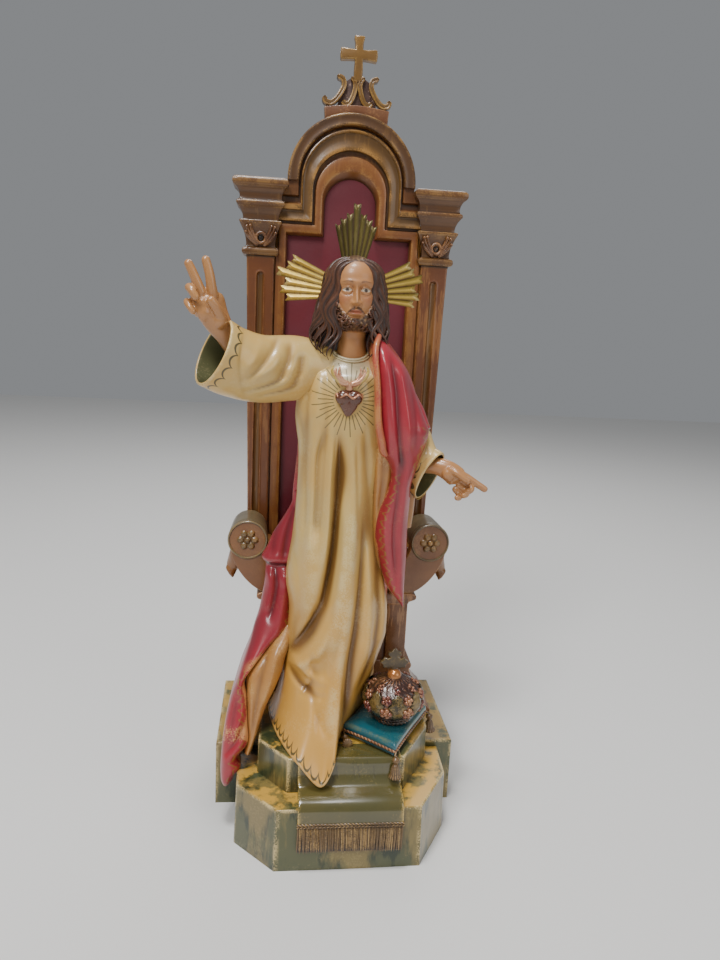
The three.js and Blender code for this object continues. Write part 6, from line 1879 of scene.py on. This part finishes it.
def crown_leaf(bearing):
    """A leaf as a closed tube flattened on the body: across it half wide times cos a, off the body
    by sin a, its rim notched by a cosine of the length and its tip curled out."""
    t, a = np.linspace(0, 1, 40)[:, None], round_angles(24)
    half = 0.27 * np.sin(np.pi * t) ** 0.7 * (1 + 0.22 * np.cos(22 * t)) + 0.012
    lift = 0.4 + (1.5 * np.sin(a) + 0.5 * np.cos(5 * a) * np.cos(11 * t)) * np.sin(np.pi * t) ** 0.5
    lift += 1.6 * bell(t, 0.93, 0.09)
    vein = 0.5 * bell(np.cos(a), 0, 0.18) * (np.sin(a) > 0) + 0 * t
    leaf = crown_point(9 + 31 * t, bearing + half * np.cos(a), lift - vein)
    return part_of(leaf, CROWN_LEAF, wear=np.clip(np.sin(a), 0, 1) * 0.7 + 0.3 * np.cos(18 * t) ** 2,
                   hollow=vein * 1.5)


def crown_rosette(level, bearing, size):
    """A button that stands out, and five petals round it."""
    parts = []
    for j in range(6):
        angle = j * np.pi / 2.5
        reach = 3.7 * size if j else 0.0
        spot = crown_point(level + reach * math.sin(angle), bearing + reach * math.cos(angle) / 26,
                           1.0 if j else 1.8)
        parts.append(part_of(ball_rings(spot, np.full(3, 2.6 * size), 12, 8), CROWN_ROSE, wear=0.5))
    return parts

# %% Crown in one piece
height, bearing = np.linspace(0, CROWN_HEIGHT, 64)[:, None], round_angles(128)
crown_wave = np.cos(24 * bearing + 4 * np.sin(height * 0.33)) * np.sin(height * 0.8)
crown_parts = [part_of(crown_point(height, bearing, 0.5 * crown_wave), CROWN_PAINT,
                       wear=np.clip(crown_wave, 0, 1), hollow=np.clip(-crown_wave, 0, 1) * 0.6)]
for bearing in -np.pi / 2 + np.arange(LOBES) * 2 * np.pi / LOBES:
    crown_parts.append(crown_leaf(bearing))
    for level, turned, size in ROSETTES:
        crown_parts += crown_rosette(level, bearing + turned, size)
rim_turn = np.linspace(0, 2 * np.pi, 161)
for height, radius, pitch in ((4.8, 1.3, 3.8), (8.4, 1.0, -3.4)):
    crown_parts.append(twisted(crown_point(height + 0 * rim_turn, rim_turn, 0.3), radius, pitch, CROWN_PAINT))

# %% Orb and cross of the crown
ORB_Z = CROWN_Z + 48.0
orb_points = ball_rings([CROWN_X, CROWN_Y, ORB_Z], [7.2, 7.2, 6.6], 40, 26)
band = bell(orb_points[..., 2], ORB_Z - 1.8, 0.9)
orb_points[..., :2] += (orb_points[..., :2] - [CROWN_X, CROWN_Y]) * (0.06 * band)[..., None]
crown_parts.append(part_of(orb_points, ORB_PAINT, wear=0.3 + 0.7 * band))
for turn in round_angles(6):
    foot = [CROWN_X + 6.5 * math.cos(turn), CROWN_Y + 6.5 * math.sin(turn), CROWN_Z + 45.4]
    crown_parts.append(part_of(ball_rings(foot, [1.9, 1.9, 1.6], 12, 8), ORB_PAINT, wear=0.5))
cross_outline = both_halves([
    [2.4, 0], [1.8, 3.0], [3.5, 3.4], [4.5, 1.6], [6.2, 3.6], [9.2, 3.2], [9.6, 6.4], [12, 9.4], [9.4, 11.4],
    [8.2, 14.0], [5.4, 12.6], [3.0, 14.2], [5.6, 16.6], [5.2, 19.6], [2.6, 20.0], [0.8, 23.0],
]) * [1.22, 1.04] + [CROWN_X - 0.8, ORB_Z + 4.6]
crown_parts.append(plate_part(cross_outline, CROWN_Y - 1.7, CROWN_Y + 1.7, CROSS_PAINT))
add_piece("crown_carved", crown_parts, ["crown"])

# %% [markdown]
# ## Crest and rays
# The crest is openwork of mirrored scrolls on a curved foot, with a flared cross above. The rays
# are thin brass, folded into flutes, each with a ridge along its middle and a V cut at its tip.
# Both could be cut from a flat plate, but the raised rims and the ridges catch the light.

# %% Crest
CREST_PAINT = painted("crest_paint", (0.2, 0.1, 0.018), (0.14, 0.065, 0.012), (0.03, 0.012, 0.005),
                      (0.4, 0.23, 0.06), rub=0.8, flecks=0.25, roughness=0.34, metallic=0.15)
CREST_FOOT = painted("crest_foot", (0.14, 0.047, 0.012), (0.1, 0.033, 0.009), (0.03, 0.01, 0.005),
                     (0.3, 0.14, 0.05), rub=0.8, flecks=0.4, roughness=0.4)
CREST_GROUND = painted("crest_ground", (0.05, 0.018, 0.01), (0.036, 0.013, 0.008), (0.02, 0.008, 0.005),
                       (0.5, 0.32, 0.24), rub=0.5, flecks=0.8, roughness=0.5, coat=0.1)
CREST_FRONT, CREST_BACK = 99.0, 107.0
SCROLL_SECTION = [
    # across, depth behind the front, rubbed gilding, darkness
    [-1, CREST_BACK - CREST_FRONT, 0, 0.8], [-1, 1.4, 0.4, 0.4], [-0.9, 0.3, 1, 0], [-0.65, 0, 1, 0],
    [-0.35, 0.8, 0.3, 0.2], [0, 1.1, 0, 0.4], [0.35, 0.8, 0.3, 0.2], [0.65, 0, 1, 0], [0.9, 0.3, 1, 0],
    [1, 1.4, 0.4, 0.4], [1, CREST_BACK - CREST_FRONT, 0, 0.8],
]


def scroll(points, widths, steps=60):
    """A band along a smooth line in X and Z: a rounded rectangle in section, its rims raised."""
    path = smooth_path(points, steps)
    ahead = unit(np.gradient(path, axis=0))
    half = np.interp(np.linspace(0, 1, steps), [0, 0.05, 0.95, 1], [0.5, *widths, 0.5])[:, None]
    across, depth, rub, dark = np.array(SCROLL_SECTION).T
    grid = xyz(path[:, :1] - ahead[:, 1:] * half * across, CREST_FRONT + depth,
               path[:, 1:] + ahead[:, :1] * half * across)
    level = 0 * grid[..., 0]
    return part_of(grid, CREST_PAINT, wear=rub + level, hollow=dark + level)

# %% The crest's pieces
CREST_X, ARCH_RADIUS, ARCH_Z, ARM_Z = 1.7, 68.4, 657, 782.2
outer_scroll = scroll([[34.0, 740.5], [33.6, 736.5], [31.4, 734.6], [26.5, 734.6], [21.1, 739.2],
                       [16.5, 746.3], [14.3, 752], [15.2, 757.4], [18, 759.4], [22, 760.2]], (2.8, 2.6))
inner_scroll = scroll([[15.5, 737], [12.5, 734.2], [8, 735.6], [4.6, 742], [2.4, 751],
                       [3.6, 757], [7, 760.4]], (2.7, 2.4))
arch_turn = np.linspace(np.arccos((CREST_X - 33) / ARCH_RADIUS), np.arccos((CREST_X + 33) / ARCH_RADIUS), 40)
foot_outline = np.concatenate([
    np.column_stack([ARCH_RADIUS * np.cos(arch_turn) - CREST_X, ARCH_Z + ARCH_RADIUS * np.sin(arch_turn)]),
    [[34, 729.8], [26, 731.0], [10, 732.8], [0, 733.2], [-10, 732.8], [-26, 731.0], [-34, 729.8]],
])
ground_outline = [[-21, 731], [21, 731], [19, 738], [14, 745], [12, 757], [6, 761], [-6, 761], [-12, 757],
                  [-14, 745], [-19, 738]]
cross_outline = both_halves([
    [4.4, 756], [4.5, 768], [4.0, ARM_Z - 4.8], [9, ARM_Z - 4.9], [18.2, ARM_Z - 5.7], [19, ARM_Z - 4.6],
    [19.4, ARM_Z], [19, ARM_Z + 4.6], [18.2, ARM_Z + 5.7], [9, ARM_Z + 4.9], [4.0, ARM_Z + 4.8],
    [4.2, ARM_Z + 11], [5.5, 798.6], [4.8, 799.9],
])
crest_parts = [
    plate_part(foot_outline, 98, 109, CREST_FOOT),
    plate_part(ground_outline, 103, 106.5, CREST_GROUND, bevel=0.3),
    outer_scroll, mirrored_part(outer_scroll), inner_scroll, mirrored_part(inner_scroll),
    plate_part(cross_outline, CREST_FRONT, CREST_BACK, CREST_PAINT, bevel=1.5, wear=0.1),
]
for part in crest_parts:
    part["verts"] = part["verts"] + [CREST_X, 0, 0]
add_piece("crest_gilt", crest_parts, ["crest"], sharp_degrees=50)

# %% Rays
BRASS = painted("brass", (0.62, 0.42, 0.08), (0.42, 0.28, 0.05), (0.08, 0.055, 0.014), (0.85, 0.72, 0.4),
                rub=0.3, streaks=0.06, roughness=0.26, metallic=0.85, coat=0.2, bump=0.1)
# A darker copy of the same brass, painted as shade for the cluster above the head.
BRASS_SHADED = painted("brass_shaded", (0.14, 0.105, 0.022), (0.1, 0.075, 0.017), (0.03, 0.024, 0.008),
                     (0.6, 0.5, 0.25), rub=0.3, streaks=0.05, roughness=0.34, metallic=0.8, coat=0.15,
                     bump=0.1)

# %% Flutes
RIDGE_MM, RAY_MM = 1.7, 0.8


def ray_cluster(root, tip, side, root_half, lengths, material):
    """Flutes fanned from root to tip. Across a flute (u from 0 to 1) it rises to a ridge in the
    middle; its end is cut to a V, the middle 13 % shorter than the rims."""
    root, tip = np.array(root, float), np.array(tip, float)
    reach, across = tip - root, unit(np.array(side, float))
    out = unit(np.cross(across, reach))
    out = out * (1 if out[1] < 0 else -1)
    u, t = np.linspace(0, 1, 13), np.linspace(0, 1, 30)[:, None]
    rise = np.interp(u, [0, 0.3, 0.5, 0.7, 1], [0, 1.0, RIDGE_MM, 1.0, 0])
    notch = 0.13 * (1 - np.abs(2 * u - 1)) + 0.05 * np.abs(2 * u - 1) ** 8
    # Painted light: ridges and tips are painted lighter as highlight, the low rims between the flutes darker
    # as shade.
    rub = np.concatenate([rise / RIDGE_MM + 0 * t, 0 * (u + t)], 1)
    low = np.concatenate([1 - rise / RIDGE_MM + 0 * t, 0 * (u + t)], 1)
    parts = []
    for i, length in enumerate(lengths):
        along = t * (length - notch * t ** 3)
        spread = root_half + (RAY_TIP_HALF - root_half) * along
        place = (2 * (i + 0.02 + 0.96 * u) / len(lengths) - 1) * spread
        top = (root + reach * along[..., None] + across * place[..., None]
               + out * (rise * (0.5 + 0.5 * t))[..., None])
        grid = np.concatenate([top, (top - out * RAY_MM)[:, ::-1]], 1)
        parts.append(part_of(grid, material, wear=rub * 0.3 + 0.9 * smooth_step((t - 0.86) / 0.1),
                             hollow=low * 0.8))
    return parts

# %% Three clusters
RAY_TIP_HALF = 26
TOP_LENGTHS = (0.64, 0.74, 0.83, 1.0, 0.83, 0.74, 0.64)
SIDE_LENGTHS = (0.76, 0.88, 0.84, 1.0, 0.86, 0.8)
for name, node, root, tip, side, root_half, lengths, material in (
        ("rays_above", "rays_top", [-5, -18, 566], [-3, -10, 621], [1, 0, 0], 11, TOP_LENGTHS, BRASS_SHADED),
        ("rays_west", "rays_left", [-24, -18, 541], [-79, -6, 551], [0.2, 0, 1], 10, SIDE_LENGTHS, BRASS),
        ("rays_east", "rays_right", [16, -18, 541], [66, -6, 551], [-0.2, 0, 1], 10, SIDE_LENGTHS, BRASS)):
    add_piece(name, ray_cluster(root, tip, side, root_half, lengths, material), [node],
              sharp_degrees=30)
